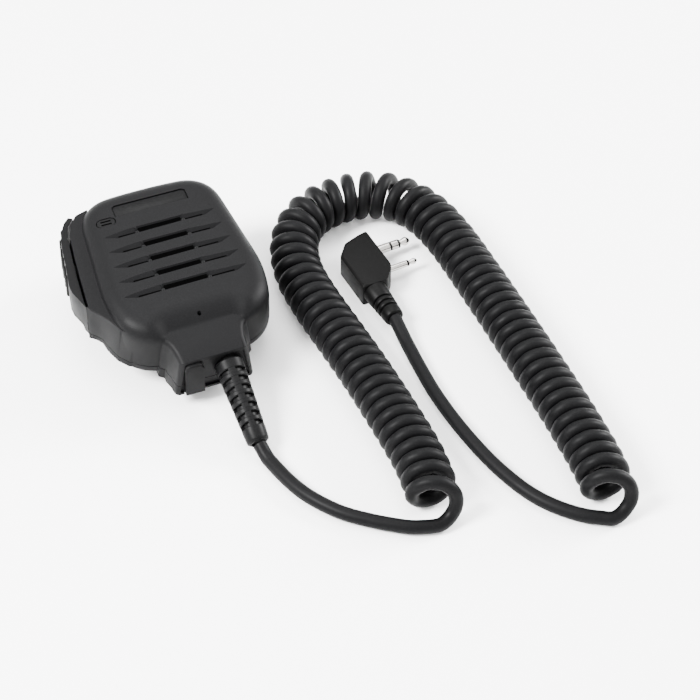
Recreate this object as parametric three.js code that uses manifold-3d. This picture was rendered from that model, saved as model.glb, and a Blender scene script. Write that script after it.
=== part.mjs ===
// Hand microphone for a two-way radio: a palm-sized speaker-microphone with a press-to-talk bar,
// a rear spring clip, and a curly cord that ends in a right-angled two-pin plug.
// Millimetres, +Z up. The part lies on its clip, face up, with the cord on the same surface.
// The head is drawn in a frame of its own: +X right, +Y to the top, +Z out of the face,
// with its origin on the face at the middle slot. The clip then lifts the top of the head a little.
import * as THREE from "three";
import { mergeVertices } from "three/addons/utils/BufferGeometryUtils.js";
import Module from "manifold-3d";

const wasm = await Module();
wasm.setup();

// ---------- Driving dimensions ----------
const FIT = 0.3; // gap left between pieces that touch
const OVER = 1; // how far a cutting tool runs past what it cuts
const TILT = THREE.MathUtils.degToRad(6); // lift of the top of the head on its clip

// Case outline and depth
const TOP_Y = 38; // crown of the top edge above the middle slot
const CORNER_Y = 36.2;
const TOP_WIDTH = 51.2;
const WAIST_Y = -16;
const WAIST_WIDTH = 60.6;
const CHIN_Y = -32.5;
const CHIN_WIDTH = 52;
const BASE_Y = -35.5;
const BASE_WIDTH = 28;
const CASE_DEPTH = 24.5;
const COVER_DEPTH = 5; // depth of the rear cover
const WALL = 2;
const SHOULDER_WIDTH = 7.5;
const SHOULDER_DEPTH = 6;
const FLARE = 0.4; // draft that widens the case below the shoulder
const REAR_ROUND = 3.2;
const REAR_SLOPE = 0.05; // how fast the cable-end wall runs in towards the back
const OUTLINE_STEPS = 48;

// Sound slots, badge, insert and pinhole
const SLOT_COUNT = 5;
const SLOT_PITCH = 7.44;
const SLOT_LENGTH = 44.2; // length of the middle slot
const SLOT_GROWTH = 1.0; // each slot is this much longer than the one above
const SLOT_WIDTH = 2.7;
const SLOT_DEPTH = 1.1;
const SLOT_OPENING = 18.2; // open stretch between the two bridges
const PINHOLE_Y = -29.2;
const PINHOLE_RADIUS = 0.75;
const BADGE_WIDTH = 28.4;
const BADGE_HEIGHT = 5.2;
const BADGE_Y = 26.2;
const BADGE_THICKNESS = 0.6;
const INSERT_LENGTH = 7;
const INSERT_WIDTH = 3.8;
const INSERT_X = -18.3;
const INSERT_Y = 21.8;
const INSERT_THICKNESS = 0.8;

// Cable boss, dust cap and jack
const BOSS_WIDTH = 26.6;
const BOSS_FRONT_Y = -46.5;
const BOSS_ROOT_Y = -33;
const BOSS_ROOT_DROP = 3.6; // top of the boss below the face, at its root
const BOSS_FRONT_DROP = 7; // and at its front
const BOSS_LIP = 1.3;
const BOSS_RECESS = 1.8;
const CAP_WIDTH = 7.4;
const CAP_SIDE_GAP = 0.5; // cap to the side of the boss recess
const CAP_X = CAP_SIDE_GAP + BOSS_LIP + (CAP_WIDTH - BOSS_WIDTH) / 2;
const CAP_THICKNESS = 1.9;
const CAP_STEM_RADIUS = 1.7;
const CAP_STEM_LENGTH = 3.4;
const JACK_DROP = 14.6; // jack and cable centre line below the face
const JACK_PORT_RADIUS = 3.2;
const JACK_BORE_RADIUS = 1.8;
const JACK_WIDTH = 5.6;
const JACK_LENGTH = 10.5;

// Press-to-talk bar on the left rail
const RAIL_TOP = 33;
const RAIL_DROP = 4.5; // rail surface below the face
const BAR_BOTTOM = -10.4;
const BAR_DROP = 5.6;
const BAR_HEIGHT = 13.2;
const BAR_TRAVEL = 0.7;
const BAR_GAP = BAR_TRAVEL + FIT;
const RIB_COUNT = 6;
const RIB_RADIUS = 0.8;
const RIB_TOP = 29.5;
const RIB_PITCH = 4.35;
const PLUNGER_Y = 12;
const PLUNGER_LENGTH = 6;
const PLUNGER_HEIGHT = 4;
const SWITCH_SIZE = [4.4, 7, 4.4];

// Speaker, microphone capsule and board
const CLOTH_RADIUS = 19;
const CLOTH_THICKNESS = 0.4;
const SPEAKER_RADIUS = 18;
const SPEAKER_DEPTH = 5;
const SPEAKER_RIM = 1.6;
const MAGNET_RADIUS = 8;
const MAGNET_HEIGHT = 4.2;
const RING_WIDTH = 3;
const CAPSULE_RADIUS = 2.5;
const CAPSULE_HEIGHT = 2.5;
const BOOT_WALL = 0.9; // rubber boot round the capsule
const BOARD_DROP = 15;
const BOARD_THICKNESS = 1.6;
const BOARD_WIDTH = 47;
const BOARD_TOP = 31;
const BOARD_BOTTOM = -28.6;
const GASKET_INSET = 1.2;
const GASKET_WIDTH = 1;
const GASKET_HEIGHT = 1;

// Screws and their posts
const SCREW_SITES = [
  [17.5, 26],
  [-17.5, 26],
  [18, -20],
  [-18, -20],
];
const SCREW_RADIUS = 1.25;
const SCREW_LENGTH = 11;
const SCREW_HEAD_RADIUS = 2.4;
const SCREW_HEAD_HEIGHT = 1.1;
const POST_RADIUS = 3;

// Rear clip
const SWIVEL_Y = 2;
const BASE_RADIUS = 10;
const BASE_THICKNESS = 1.6;
const FRAME_THICKNESS = 1;
const CLIP_WIDTH = 20;
const FRAME_TOP = 16;
const JAW_Y = -24;
const PIN_Y = 11;
const PIN_BELOW_FRAME = 4.5; // hinge pin below the underside of the frame
const PIN_RADIUS = 1;
const EAR_THICKNESS = 1;
const EAR_RADIUS = 2;
const LEVER_THICKNESS = 1.6;
const LEVER_DROP = 4.1; // pin to the lever's outer face
const LEVER_TAIL = 17; // finger tab beyond the pin
const JAW_LIP = 1.6;
const SPRING_RADIUS = 2.2;
const SPRING_LENGTH = 9;
const SWIVEL_SCREW_RADIUS = 1.9;
const SWIVEL_HEAD_RADIUS = 3.6;
const SWIVEL_HEAD_HEIGHT = 1.3;
const SWIVEL_SCREW_LENGTH = 5;

// Cable boot
const BOOT_X = 5.3;
const BOOT_DROOP = THREE.MathUtils.degToRad(14.6);
const BOOT_LENGTH = 32.6;
const BOOT_RADIUS = 5.4;
const BOOT_END_RADIUS = 4.1;
const BOOT_NECK_RADIUS = 4.2;
const BOOT_FLANGE_RADIUS = 4.8;
const BOOT_FLANGE = 1.5;
const BOOT_RINGS = 7;
const BOOT_PITCH = 3.5;
const BOOT_GROOVE = 1.1;

// Cord
const CORD_DIAMETER = 5.1;
const COIL_DIAMETER = 19;

// Plug
const PLUG_X = 81;
const PLUG_Y = 2.8;
const PLUG_TURN = THREE.MathUtils.degToRad(4.7);
const PLUG_DEPTH = 15.2; // pin face to back
const PLUG_THICKNESS = 9.6;
const PLUG_ABOVE = 7.3; // body beyond the larger pin
const PLUG_BELOW = 20.2; // body on the cord side of the larger pin
const PLUG_EDGE = 0.4;
const PIN_SPACING = 11.5;
const TAIL_X = -10.1;
const TAIL_LENGTH = 16;
const TAIL_RADIUS = 4.8;
const TAIL_END_RADIUS = 3.8;
const TAIL_GROOVES = 3;
const TAIL_GROOVE_PITCH = 2.4;
const LARGE_PIN = { radius: 1.75, sleeve: 5.9, ring: 2.7, tip: 4.4 };
const SMALL_PIN = { radius: 1.25, sleeve: 7.5, ring: 0, tip: 3.6 };
const INSULATOR = 0.7;
const PIN_GAP = 0.05; // gap between the stacked rings of a pin

// ---------- Materials ----------
const material = (color, roughness, metalness = 0) =>
  new THREE.MeshStandardMaterial({ color, roughness, metalness });
const CASE_PLASTIC = material(0x38383a, 0.6);
const BAR_RUBBER = material(0x2f2f31, 0.65);
const SOFT_RUBBER = material(0x2b2b2c, 0.7);
const CORD_JACKET = material(0x2c2c2e, 0.5);
const PLUG_PLASTIC = material(0x262627, 0.55);
const NICKEL = material(0xd0cfc8, 0.2, 1);
const DARK_STEEL = material(0x3a3a3c, 0.4, 0.9);
const STEEL = material(0xa8a8a8, 0.35, 1);
const BOARD_GREEN = material(0x1f5a34, 0.5);
const BLACK = material(0x151515, 0.8);
const CONE_PAPER = material(0x242220, 0.85);
const FELT = material(0x0c0c0c, 0.95);

// ---------- Solids ----------
function solid(geometry) {
  const bare = geometry.index ? geometry.toNonIndexed() : geometry.clone();
  bare.deleteAttribute("normal");
  bare.deleteAttribute("uv");
  const merged = mergeVertices(bare, 1e-4);
  const made = new wasm.Manifold(
    new wasm.Mesh({
      numProp: 3,
      vertProperties: merged.attributes.position.array,
      triVerts: new Uint32Array(merged.index.array),
    }),
  );
  return made;
}

function geometryOf(manifold) {
  const mesh = manifold.getMesh();
  const geometry = new THREE.BufferGeometry();
  geometry.setAttribute("position", new THREE.BufferAttribute(mesh.vertProperties, 3));
  geometry.setIndex(new THREE.BufferAttribute(mesh.triVerts, 1));
  const flat = geometry.toNonIndexed();
  flat.computeVertexNormals();
  return flat;
}

function cut(from, ...tools) {
  return tools.reduce((left, tool) => left.subtract(solid(tool)), from);
}

function join(first, ...others) {
  return others.reduce((sum, other) => sum.add(solid(other)), first);
}

function part(group, name, shape, look) {
  const geometry = shape.isBufferGeometry ? shape : geometryOf(shape);
  const mesh = new THREE.Mesh(geometry, look);
  mesh.name = name;
  group.add(mesh);
  return mesh;
}

// ---------- Shapes ----------
// A box between two corners.
function box(low, high) {
  const size = high.map((value, axis) => value - low[axis]);
  const middle = high.map((value, axis) => (value + low[axis]) / 2);
  return new THREE.BoxGeometry(...size).translate(...middle);
}

// A cylinder along Z between two heights.
function post(x, y, radius, bottom, top, sides = 20) {
  return new THREE.CylinderGeometry(radius, radius, top - bottom, sides)
    .rotateX(Math.PI / 2)
    .translate(x, y, (bottom + top) / 2);
}

// A solid of revolution about Z: profile pairs are radius and height, from the bottom up.
function turned(profile, sides = 28) {
  const points = profile.map(([radius, height]) => new THREE.Vector2(radius, height));
  return new THREE.LatheGeometry(points, sides).rotateX(Math.PI / 2);
}

// A closed outline whose corners [x, y, reach] are rounded over their reach along both sides.
function roundedShape(corners) {
  const shape = new THREE.Shape();
  corners.forEach(([x, y, reach], index) => {
    const corner = new THREE.Vector2(x, y);
    const before = corners[(index + corners.length - 1) % corners.length];
    const after = corners[(index + 1) % corners.length];
    const towards = ([nx, ny]) => {
      const away = new THREE.Vector2(nx - x, ny - y);
      return away.setLength(Math.min(reach, away.length() * 0.45)).add(corner);
    };
    const entry = towards(before);
    const leave = towards(after);
    if (index === 0) shape.moveTo(entry.x, entry.y);
    else shape.lineTo(entry.x, entry.y);
    shape.quadraticCurveTo(x, y, leave.x, leave.y);
  });
  return shape;
}

// An outline raised along Z from bottom to top, with an optional bevel on both rims.
function raised(shape, bottom, top, bevel = 0, curveSegments = 5) {
  return new THREE.ExtrudeGeometry(shape, {
    depth: top - bottom - 2 * bevel,
    bevelEnabled: bevel > 0,
    bevelThickness: bevel,
    bevelSize: bevel,
    bevelOffset: -bevel,
    bevelSegments: 2,
    curveSegments,
  }).translate(0, 0, bottom + bevel);
}

// An outline in the YZ plane, carried along X over a width and centred on x = 0.
function sideways(corners, width) {
  const shape = new THREE.Shape(corners.map(([y, z]) => new THREE.Vector2(y, z)));
  return new THREE.ExtrudeGeometry(shape, { depth: width, bevelEnabled: false })
    .rotateZ(Math.PI / 2)
    .rotateY(Math.PI / 2)
    .translate(-width / 2, 0, 0);
}

// A slot-shaped outline of a length along X and a width, centred at x, y.
function stadium(x, y, length, width) {
  const reach = (length - width) / 2;
  const radius = width / 2;
  const shape = new THREE.Shape();
  shape.absarc(x + reach, y, radius, -Math.PI / 2, Math.PI / 2, false);
  shape.absarc(x - reach, y, radius, Math.PI / 2, (3 * Math.PI) / 2, false);
  shape.closePath();
  return shape;
}

// ---------- Case form ----------
const PART_Z = COVER_DEPTH - CASE_DEPTH; // height of the joint between case and rear cover
const BACK_Z = -CASE_DEPTH;

const rightOutline = [
  [BASE_WIDTH / 2, BASE_Y, 3],
  [CHIN_WIDTH / 2, CHIN_Y, 10],
  [WAIST_WIDTH / 2, WAIST_Y, 9],
  [TOP_WIDTH / 2, CORNER_Y, 11],
];
const caseShape = roundedShape([
  ...rightOutline,
  [0, TOP_Y, 12],
  ...rightOutline.map(([x, y, reach]) => [-x, y, reach]).reverse(),
]);
caseShape.closePath();
const rim = caseShape.getSpacedPoints(OUTLINE_STEPS).slice(0, OUTLINE_STEPS);
const rimNormals = rim.map((_, index) => {
  const ahead = rim[(index + 1) % OUTLINE_STEPS];
  const behind = rim[(index + OUTLINE_STEPS - 1) % OUTLINE_STEPS];
  return new THREE.Vector2(ahead.y - behind.y, behind.x - ahead.x).normalize();
});

// Sections of the case from the middle of its back to the middle of its face. Each is the
// outline drawn in by an inset, or shrunk towards the centre once it is on a flat side.
const QUARTER = [0, 0.25, 0.5, 0.75, 1].map((share) => (share * Math.PI) / 2);
const sections = [
  { inset: REAR_ROUND, shrink: 0, z: BACK_Z },
  ...QUARTER.map((angle) => ({
    inset: REAR_ROUND * (1 - Math.sin(angle)) - FLARE,
    shrink: 1,
    z: BACK_Z + REAR_ROUND * (1 - Math.cos(angle)),
  })),
  { inset: -FLARE, shrink: 1, z: PART_Z },
  ...QUARTER.map((angle) => ({
    inset: SHOULDER_WIDTH * (1 - Math.cos(angle)),
    shrink: 1,
    z: -SHOULDER_DEPTH * (1 - Math.sin(angle)),
  })),
  { inset: SHOULDER_WIDTH, shrink: 0.66, z: 0 },
  { inset: SHOULDER_WIDTH, shrink: 0.33, z: 0 },
  { inset: SHOULDER_WIDTH, shrink: 0, z: 0 },
];

// The face dips towards the cable end between the two lower shoulders.
const DIP_START = -22;
const DIP_RATE = 0.04;
const DIP_MOST = 5.2; // kept less than the shoulder depth
const DIP_FULL_X = 11; // the dip is full between these sides
const DIP_END_X = 20; // and has run out here
function faceDip(x, y) {
  const reach = Math.max(0, DIP_START - y);
  const side = THREE.MathUtils.smoothstep(Math.abs(x), DIP_FULL_X, DIP_END_X);
  return Math.min(DIP_MOST, DIP_RATE * reach * reach) * (1 - side);
}

// The case as one closed form, drawn in all round by a wall.
function caseForm(wall) {
  const profile = sections.map((_, index) => {
    const onAxis = index === 0 || index === sections.length - 1;
    return new THREE.Vector2(onAxis ? 0 : 1, index);
  });
  const geometry = new THREE.LatheGeometry(profile, OUTLINE_STEPS);
  const position = geometry.attributes.position;
  for (let column = 0; column <= OUTLINE_STEPS; column += 1) {
    const point = rim[column % OUTLINE_STEPS];
    const normal = rimNormals[column % OUTLINE_STEPS];
    sections.forEach(({ inset, shrink, z }, row) => {
      const x = (point.x - normal.x * (inset + wall)) * shrink;
      let y = (point.y - normal.y * (inset + wall)) * shrink;
      const slope = 1 - THREE.MathUtils.smoothstep(y, CHIN_Y, WAIST_Y);
      y += Math.max(0, -SHOULDER_DEPTH - z) * REAR_SLOPE * slope;
      const onFace = THREE.MathUtils.clamp(1 + z / SHOULDER_DEPTH, 0, 1);
      const inner = z > PART_Z ? z - wall : Math.max(z, BACK_Z) + wall;
      position.setXYZ(column * sections.length + row, x, y, inner - faceDip(x, y) * onFace);
    });
  }
  return solid(geometry);
}

// Left rail that carries the press-to-talk bar, with a bracket below the bar's end.
const railEdge = [
  [-27, RAIL_TOP],
  [-30, RAIL_TOP - 3.5],
  [-31.8, 24],
  [-33.2, 13.5],
  [-34.2, 4],
  [-35.2, -7],
  [-35.4, BAR_BOTTOM - FIT],
];
const bracket = [
  [-37.2, BAR_BOTTOM - FIT],
  [-36.6, -13.5],
  [-33.8, -18.5],
  [-31, -22],
  [-28, -25],
];
const RAIL_ROOT_X = -22; // inner side of the rail, inside the case
const RAIL_BOTTOM = BACK_Z + 2.5;
const railOutline = [[RAIL_ROOT_X, -25], [RAIL_ROOT_X, RAIL_TOP + 1.5], ...railEdge, ...bracket];
const railShape = new THREE.Shape(railOutline.map(([x, y]) => new THREE.Vector2(x, y)));
const railRoom = box([-31, 4, PART_Z - OVER], [-20, 20, -RAIL_DROP - WALL - 1]);

// Boss that carries the cable and the earphone jack.
const bossProfile = [
  [BOSS_ROOT_Y + 6, -BOSS_ROOT_DROP + 0.6],
  [BOSS_FRONT_Y + 0.8, -BOSS_FRONT_DROP],
  [BOSS_FRONT_Y, -BOSS_FRONT_DROP - 1],
  [BOSS_FRONT_Y, BACK_Z + 0.6],
  [BOSS_FRONT_Y + 0.6, BACK_Z],
  [BOSS_ROOT_Y + 6, BACK_Z],
];
const RECESS_Y = BOSS_FRONT_Y + BOSS_RECESS;
const BOSS_INSIDE_Y = RECESS_Y + WALL;
const recessTop = -BOSS_FRONT_DROP - BOSS_LIP;
const recess = box(
  [-BOSS_WIDTH / 2 + BOSS_LIP, BOSS_FRONT_Y - OVER, BACK_Z + BOSS_LIP],
  [BOSS_WIDTH / 2 - BOSS_LIP, RECESS_Y, recessTop],
);
const CAP_BOTTOM = BACK_Z + 0.6;
const CAP_TOP = recessTop - FIT;
const capNotch = box(
  [CAP_X - CAP_WIDTH / 2 - FIT, BOSS_FRONT_Y - OVER, BACK_Z - OVER],
  [CAP_X + CAP_WIDTH / 2 + FIT, RECESS_Y, BACK_Z + BOSS_LIP + OVER],
);
const bossRoom = box(
  [-BOSS_WIDTH / 2 + WALL, BOSS_INSIDE_Y, BACK_Z + WALL],
  [BOSS_WIDTH / 2 - WALL, BOSS_ROOT_Y + 6, -BOSS_FRONT_DROP - WALL],
);

// Place of the cable boot: its axis leaves the recess floor and droops.
const bootFrame = new THREE.Matrix4()
  .makeTranslation(BOOT_X, RECESS_Y, -JACK_DROP)
  .multiply(new THREE.Matrix4().makeRotationX(Math.PI / 2 + BOOT_DROOP));
const bootHole = post(0, 0, BOOT_NECK_RADIUS + FIT, -6, 1.2).applyMatrix4(bootFrame);
const flangeRoom = post(0, 0, BOOT_FLANGE_RADIUS + FIT, -9, -WALL - FIT).applyMatrix4(bootFrame);

const jackPort = post(0, 0, JACK_PORT_RADIUS, -WALL - OVER, OVER)
  .applyMatrix4(new THREE.Matrix4().makeRotationX(Math.PI / 2))
  .translate(CAP_X, RECESS_Y, -JACK_DROP);

// ---------- Head ----------
const head = new THREE.Group();

const outerForm = caseForm(0)
  .add(solid(raised(railShape, RAIL_BOTTOM, -RAIL_DROP)))
  .add(solid(sideways(bossProfile, BOSS_WIDTH)));
const shell = cut(
  outerForm.subtract(caseForm(WALL)),
  recess,
  capNotch,
  bossRoom,
  railRoom,
  bootHole,
  flangeRoom,
  jackPort,
);

const HALL = 100; // larger than the head in every direction
const abovePart = solid(box([-HALL, -HALL, PART_Z + FIT / 2], [HALL, HALL, HALL]));
const belowPart = solid(box([-HALL, -HALL, -HALL], [HALL, HALL, PART_Z - FIT / 2]));

// Slots: a groove each, open between the bridges.
const slots = Array.from({ length: SLOT_COUNT }, (_, index) => ({
  y: ((SLOT_COUNT - 1) / 2 - index) * SLOT_PITCH,
  length: SLOT_LENGTH + (index - (SLOT_COUNT - 1) / 2) * SLOT_GROWTH,
}));
const grooves = slots.map(({ y, length }) =>
  raised(stadium(0, y, length, SLOT_WIDTH), -SLOT_DEPTH, OVER, 0, 2),
);
const slotOpenings = slots.map(({ y }) =>
  box(
    [-SLOT_OPENING / 2, y - SLOT_WIDTH / 2 + 0.25, -WALL - OVER],
    [SLOT_OPENING / 2, y + SLOT_WIDTH / 2 - 0.25, 0],
  ),
);
const badgeShape = roundedShape([
  [BADGE_WIDTH / 2, BADGE_Y - BADGE_HEIGHT / 2, 0.8],
  [BADGE_WIDTH / 2, BADGE_Y + BADGE_HEIGHT / 2, 1.6],
  [-BADGE_WIDTH / 2, BADGE_Y + BADGE_HEIGHT / 2, 1.6],
  [-BADGE_WIDTH / 2, BADGE_Y - BADGE_HEIGHT / 2, 0.8],
]);
const badgeBed = box(
  [-BADGE_WIDTH / 2 - FIT, BADGE_Y - BADGE_HEIGHT / 2 - FIT, -BADGE_THICKNESS - FIT],
  [BADGE_WIDTH / 2 + FIT, BADGE_Y + BADGE_HEIGHT / 2 + FIT, OVER],
);
const insertBed = raised(
  stadium(INSERT_X, INSERT_Y, INSERT_LENGTH + 2 * FIT, INSERT_WIDTH + 2 * FIT),
  -INSERT_THICKNESS - 2 * FIT,
  OVER,
  0,
  4,
);
const pinhole = post(0, PINHOLE_Y, PINHOLE_RADIUS, -WALL - 4, OVER, 12);
const BAR_TOP_Z = -BAR_DROP;
const BAR_MIDDLE_Z = BAR_TOP_Z - BAR_HEIGHT / 2;
const plungerPort = box(
  [-HALL, PLUNGER_Y - PLUNGER_LENGTH / 2 - FIT, BAR_MIDDLE_Z - PLUNGER_HEIGHT / 2 - FIT],
  [-20, PLUNGER_Y + PLUNGER_LENGTH / 2 + FIT, BAR_MIDDLE_Z + PLUNGER_HEIGHT / 2 + FIT],
);
const POST_BOTTOM = BACK_Z + WALL + FIT;
const screwPosts = SCREW_SITES.map(([x, y]) => post(x, y, POST_RADIUS, POST_BOTTOM, -WALL / 2, 16));
const postHoles = SCREW_SITES.map(([x, y]) =>
  post(x, y, SCREW_RADIUS + FIT, BACK_Z, BACK_Z + SCREW_LENGTH + SCREW_HEAD_HEIGHT + FIT, 12),
);
const frontCase = join(shell.intersect(abovePart), ...screwPosts);
part(
  head,
  "front_case",
  cut(frontCase, ...grooves, ...slotOpenings, badgeBed, insertBed, pinhole, plungerPort, ...postHoles),
  CASE_PLASTIC,
);

const HEAD_SINK = SCREW_HEAD_HEIGHT + FIT;
const screwSeats = SCREW_SITES.flatMap(([x, y]) => [
  post(x, y, SCREW_HEAD_RADIUS + FIT, BACK_Z - OVER, BACK_Z + HEAD_SINK, 16),
  post(x, y, SCREW_RADIUS + FIT, BACK_Z, BACK_Z + WALL + OVER, 12),
]);
const swivelHole = post(0, SWIVEL_Y, SWIVEL_SCREW_RADIUS + FIT, BACK_Z - OVER, BACK_Z + WALL + OVER);
part(head, "rear_cover", cut(shell.intersect(belowPart), ...screwSeats, swivelHole), CASE_PLASTIC);

// Soft seal just under the joint, inside the wall.
const GASKET_Z = PART_Z - FIT - GASKET_HEIGHT;
function ringAt(inset) {
  const loop = rim.map((point, index) => point.clone().addScaledVector(rimNormals[index], -inset));
  return loop.map((point) => {
    const slope = 1 - THREE.MathUtils.smoothstep(point.y, CHIN_Y, WAIST_Y);
    const depth = -SHOULDER_DEPTH - (GASKET_Z - WALL);
    return new THREE.Vector2(point.x, point.y + depth * REAR_SLOPE * slope);
  });
}
const gasketShape = new THREE.Shape(ringAt(WALL + GASKET_INSET));
gasketShape.holes.push(new THREE.Path(ringAt(WALL + GASKET_INSET + GASKET_WIDTH)));
part(head, "case_gasket", raised(gasketShape, GASKET_Z, PART_Z - FIT), SOFT_RUBBER);

part(head, "badge_plate", raised(badgeShape, -BADGE_THICKNESS, 0), PLUG_PLASTIC);

const insertSlits = [-0.85, 0.85].map((offset) =>
  box(
    [INSERT_X - INSERT_LENGTH / 4, INSERT_Y + offset - 0.35, -INSERT_THICKNESS / 2 - FIT],
    [INSERT_X + INSERT_LENGTH / 4, INSERT_Y + offset + 0.35, OVER],
  ),
);
const insert = solid(
  raised(stadium(INSERT_X, INSERT_Y, INSERT_LENGTH, INSERT_WIDTH), -INSERT_THICKNESS - FIT, -FIT, 0, 4),
);
part(head, "vent_insert", cut(insert, ...insertSlits), SOFT_RUBBER);

const CLOTH_Z = -WALL - FIT;
part(head, "grille_cloth", post(0, 0, CLOTH_RADIUS, CLOTH_Z - CLOTH_THICKNESS, CLOTH_Z, 36), FELT);

// ---------- Speaker ----------
const SPEAKER_Z = CLOTH_Z - CLOTH_THICKNESS - FIT;
const SPEAKER_BACK = SPEAKER_Z - SPEAKER_DEPTH;
const CONE_RIM = SPEAKER_RADIUS - SPEAKER_RIM;
const speakerFrame = turned([
  [0, SPEAKER_BACK],
  [MAGNET_RADIUS + 2, SPEAKER_BACK],
  [CONE_RIM + 0.4, SPEAKER_Z - 1],
  [SPEAKER_RADIUS, SPEAKER_Z - 1],
  [SPEAKER_RADIUS, SPEAKER_Z],
  [CONE_RIM, SPEAKER_Z],
  [MAGNET_RADIUS + 1, SPEAKER_BACK + 0.8],
  [0, SPEAKER_BACK + 0.8],
]);
part(head, "speaker_frame", speakerFrame, STEEL);
const CONE_THICKNESS = 0.4;
const CONE_TOP = SPEAKER_Z - 0.6; // underside of the cone at its rim
const CONE_DEPTH = 2.6;
const DOME_RADIUS = 3.6;
const DOME_RISE = 0.8;
const speakerCone = turned([
  [0, CONE_TOP - CONE_DEPTH + DOME_RISE],
  [DOME_RADIUS, CONE_TOP - CONE_DEPTH],
  [CONE_RIM - 2, CONE_TOP],
  [CONE_RIM - 2, CONE_TOP + CONE_THICKNESS],
  [DOME_RADIUS, CONE_TOP - CONE_DEPTH + CONE_THICKNESS],
  [0, CONE_TOP - CONE_DEPTH + DOME_RISE + CONE_THICKNESS],
]);
part(head, "speaker_cone", speakerCone, CONE_PAPER);
const MAGNET_Z = SPEAKER_BACK - FIT;
const magnet = post(0, 0, MAGNET_RADIUS, MAGNET_Z - MAGNET_HEIGHT, MAGNET_Z, 28);
part(head, "speaker_magnet", magnet, DARK_STEEL);
const RING_Z = SPEAKER_Z - 1 - FIT;
const clampRing = turned([
  [SPEAKER_RADIUS - 0.8, RING_Z - 1],
  [SPEAKER_RADIUS - 0.8 + RING_WIDTH, RING_Z - 1],
  [SPEAKER_RADIUS - 0.8 + RING_WIDTH, RING_Z],
  [SPEAKER_RADIUS - 0.8, RING_Z],
  [SPEAKER_RADIUS - 0.8, RING_Z - 1],
]);
part(head, "speaker_ring", clampRing, BLACK);

// ---------- Microphone capsule in its rubber boot ----------
const BOOT_RIM = CAPSULE_RADIUS + FIT + BOOT_WALL;
const CAPSULE_Z = -WALL - faceDip(0, PINHOLE_Y - BOOT_RIM) - 5 * FIT;
const capsuleBoot = turned([
  [PINHOLE_RADIUS, CAPSULE_Z],
  [PINHOLE_RADIUS, CAPSULE_Z - BOOT_WALL],
  [CAPSULE_RADIUS + FIT, CAPSULE_Z - BOOT_WALL],
  [CAPSULE_RADIUS + FIT, CAPSULE_Z - BOOT_WALL - CAPSULE_HEIGHT],
  [BOOT_RIM, CAPSULE_Z - BOOT_WALL - CAPSULE_HEIGHT],
  [BOOT_RIM, CAPSULE_Z],
  [PINHOLE_RADIUS, CAPSULE_Z],
]).translate(0, PINHOLE_Y, 0);
part(head, "capsule_boot", capsuleBoot, SOFT_RUBBER);
const CAPSULE_TOP = CAPSULE_Z - BOOT_WALL - FIT;
const capsule = post(0, PINHOLE_Y, CAPSULE_RADIUS, CAPSULE_TOP - CAPSULE_HEIGHT, CAPSULE_TOP);
part(head, "mic_capsule", capsule, STEEL);

// ---------- Circuit board, switch and jack ----------
const BOARD_TOP_Z = -BOARD_DROP;
const boardShape = roundedShape([
  [BOARD_WIDTH / 2, BOARD_BOTTOM, 7],
  [BOARD_WIDTH / 2, BOARD_TOP, 7],
  [-BOARD_WIDTH / 2, BOARD_TOP, 7],
  [-BOARD_WIDTH / 2, BOARD_BOTTOM, 7],
]);
const board = solid(raised(boardShape, BOARD_TOP_Z - BOARD_THICKNESS, BOARD_TOP_Z));
const boardHoles = SCREW_SITES.map(([x, y]) => post(x, y, POST_RADIUS + FIT, BACK_Z, OVER, 16));
part(head, "circuit_board", cut(board, ...boardHoles), BOARD_GREEN);

const SWITCH_X = -BOARD_WIDTH / 2;
const SWITCH_Z = BOARD_TOP_Z + FIT;
const talkSwitch = box(
  [SWITCH_X, PLUNGER_Y - SWITCH_SIZE[1] / 2, SWITCH_Z],
  [SWITCH_X + SWITCH_SIZE[0], PLUNGER_Y + SWITCH_SIZE[1] / 2, SWITCH_Z + SWITCH_SIZE[2]],
);
part(head, "talk_switch", talkSwitch, BLACK);

const jackBody = solid(
  box(
    [CAP_X - JACK_WIDTH / 2, BOSS_INSIDE_Y + FIT, -JACK_DROP - JACK_WIDTH / 2],
    [CAP_X + JACK_WIDTH / 2, BOSS_INSIDE_Y + FIT + JACK_LENGTH, -JACK_DROP + JACK_WIDTH / 2],
  ),
);
const jackBore = new THREE.CylinderGeometry(JACK_BORE_RADIUS, JACK_BORE_RADIUS, JACK_LENGTH, 16)
  .translate(CAP_X, BOSS_INSIDE_Y + FIT + JACK_LENGTH / 2 - OVER, -JACK_DROP);
part(head, "earphone_jack", cut(jackBody, jackBore), BLACK);

// ---------- Press-to-talk bar ----------
const barInner = railEdge.map(([x, y]) => [x - BAR_GAP, y]);
const barOuter = [
  [-38.1, BAR_BOTTOM + 1.6],
  [-39.8, -3.5],
  [-38.9, 1],
  [-37.6, 9.6],
  [-36.3, 18.5],
  [-35.3, 24],
  [-33.9, 28],
  [-31.9, 31.6],
  [-29.6, RAIL_TOP + 0.9],
];
barInner[barInner.length - 1][1] = BAR_BOTTOM;
const barShape = new THREE.Shape([...barInner, ...barOuter].map(([x, y]) => new THREE.Vector2(x, y)));
const barEdge = new THREE.CatmullRomCurve3(barOuter.map(([x, y]) => new THREE.Vector3(x, y, 0)));
const barEdgePoints = barEdge.getPoints(200);
const ribs = Array.from({ length: RIB_COUNT }, (_, index) => {
  const y = RIB_TOP - index * RIB_PITCH;
  const seat = barEdgePoints.reduce((best, point) =>
    Math.abs(point.y - y) < Math.abs(best.y - y) ? point : best,
  );
  return post(seat.x + 0.2, y, RIB_RADIUS, BAR_TOP_Z - BAR_HEIGHT + 1, BAR_TOP_Z - 1, 8);
});
const bar = solid(raised(barShape, BAR_TOP_Z - BAR_HEIGHT, BAR_TOP_Z));
part(head, "ptt_bar", join(bar, ...ribs), BAR_RUBBER);
const barBackX = railEdge[3][0] - BAR_GAP - 0.1; // inner side of the bar at the plunger
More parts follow.
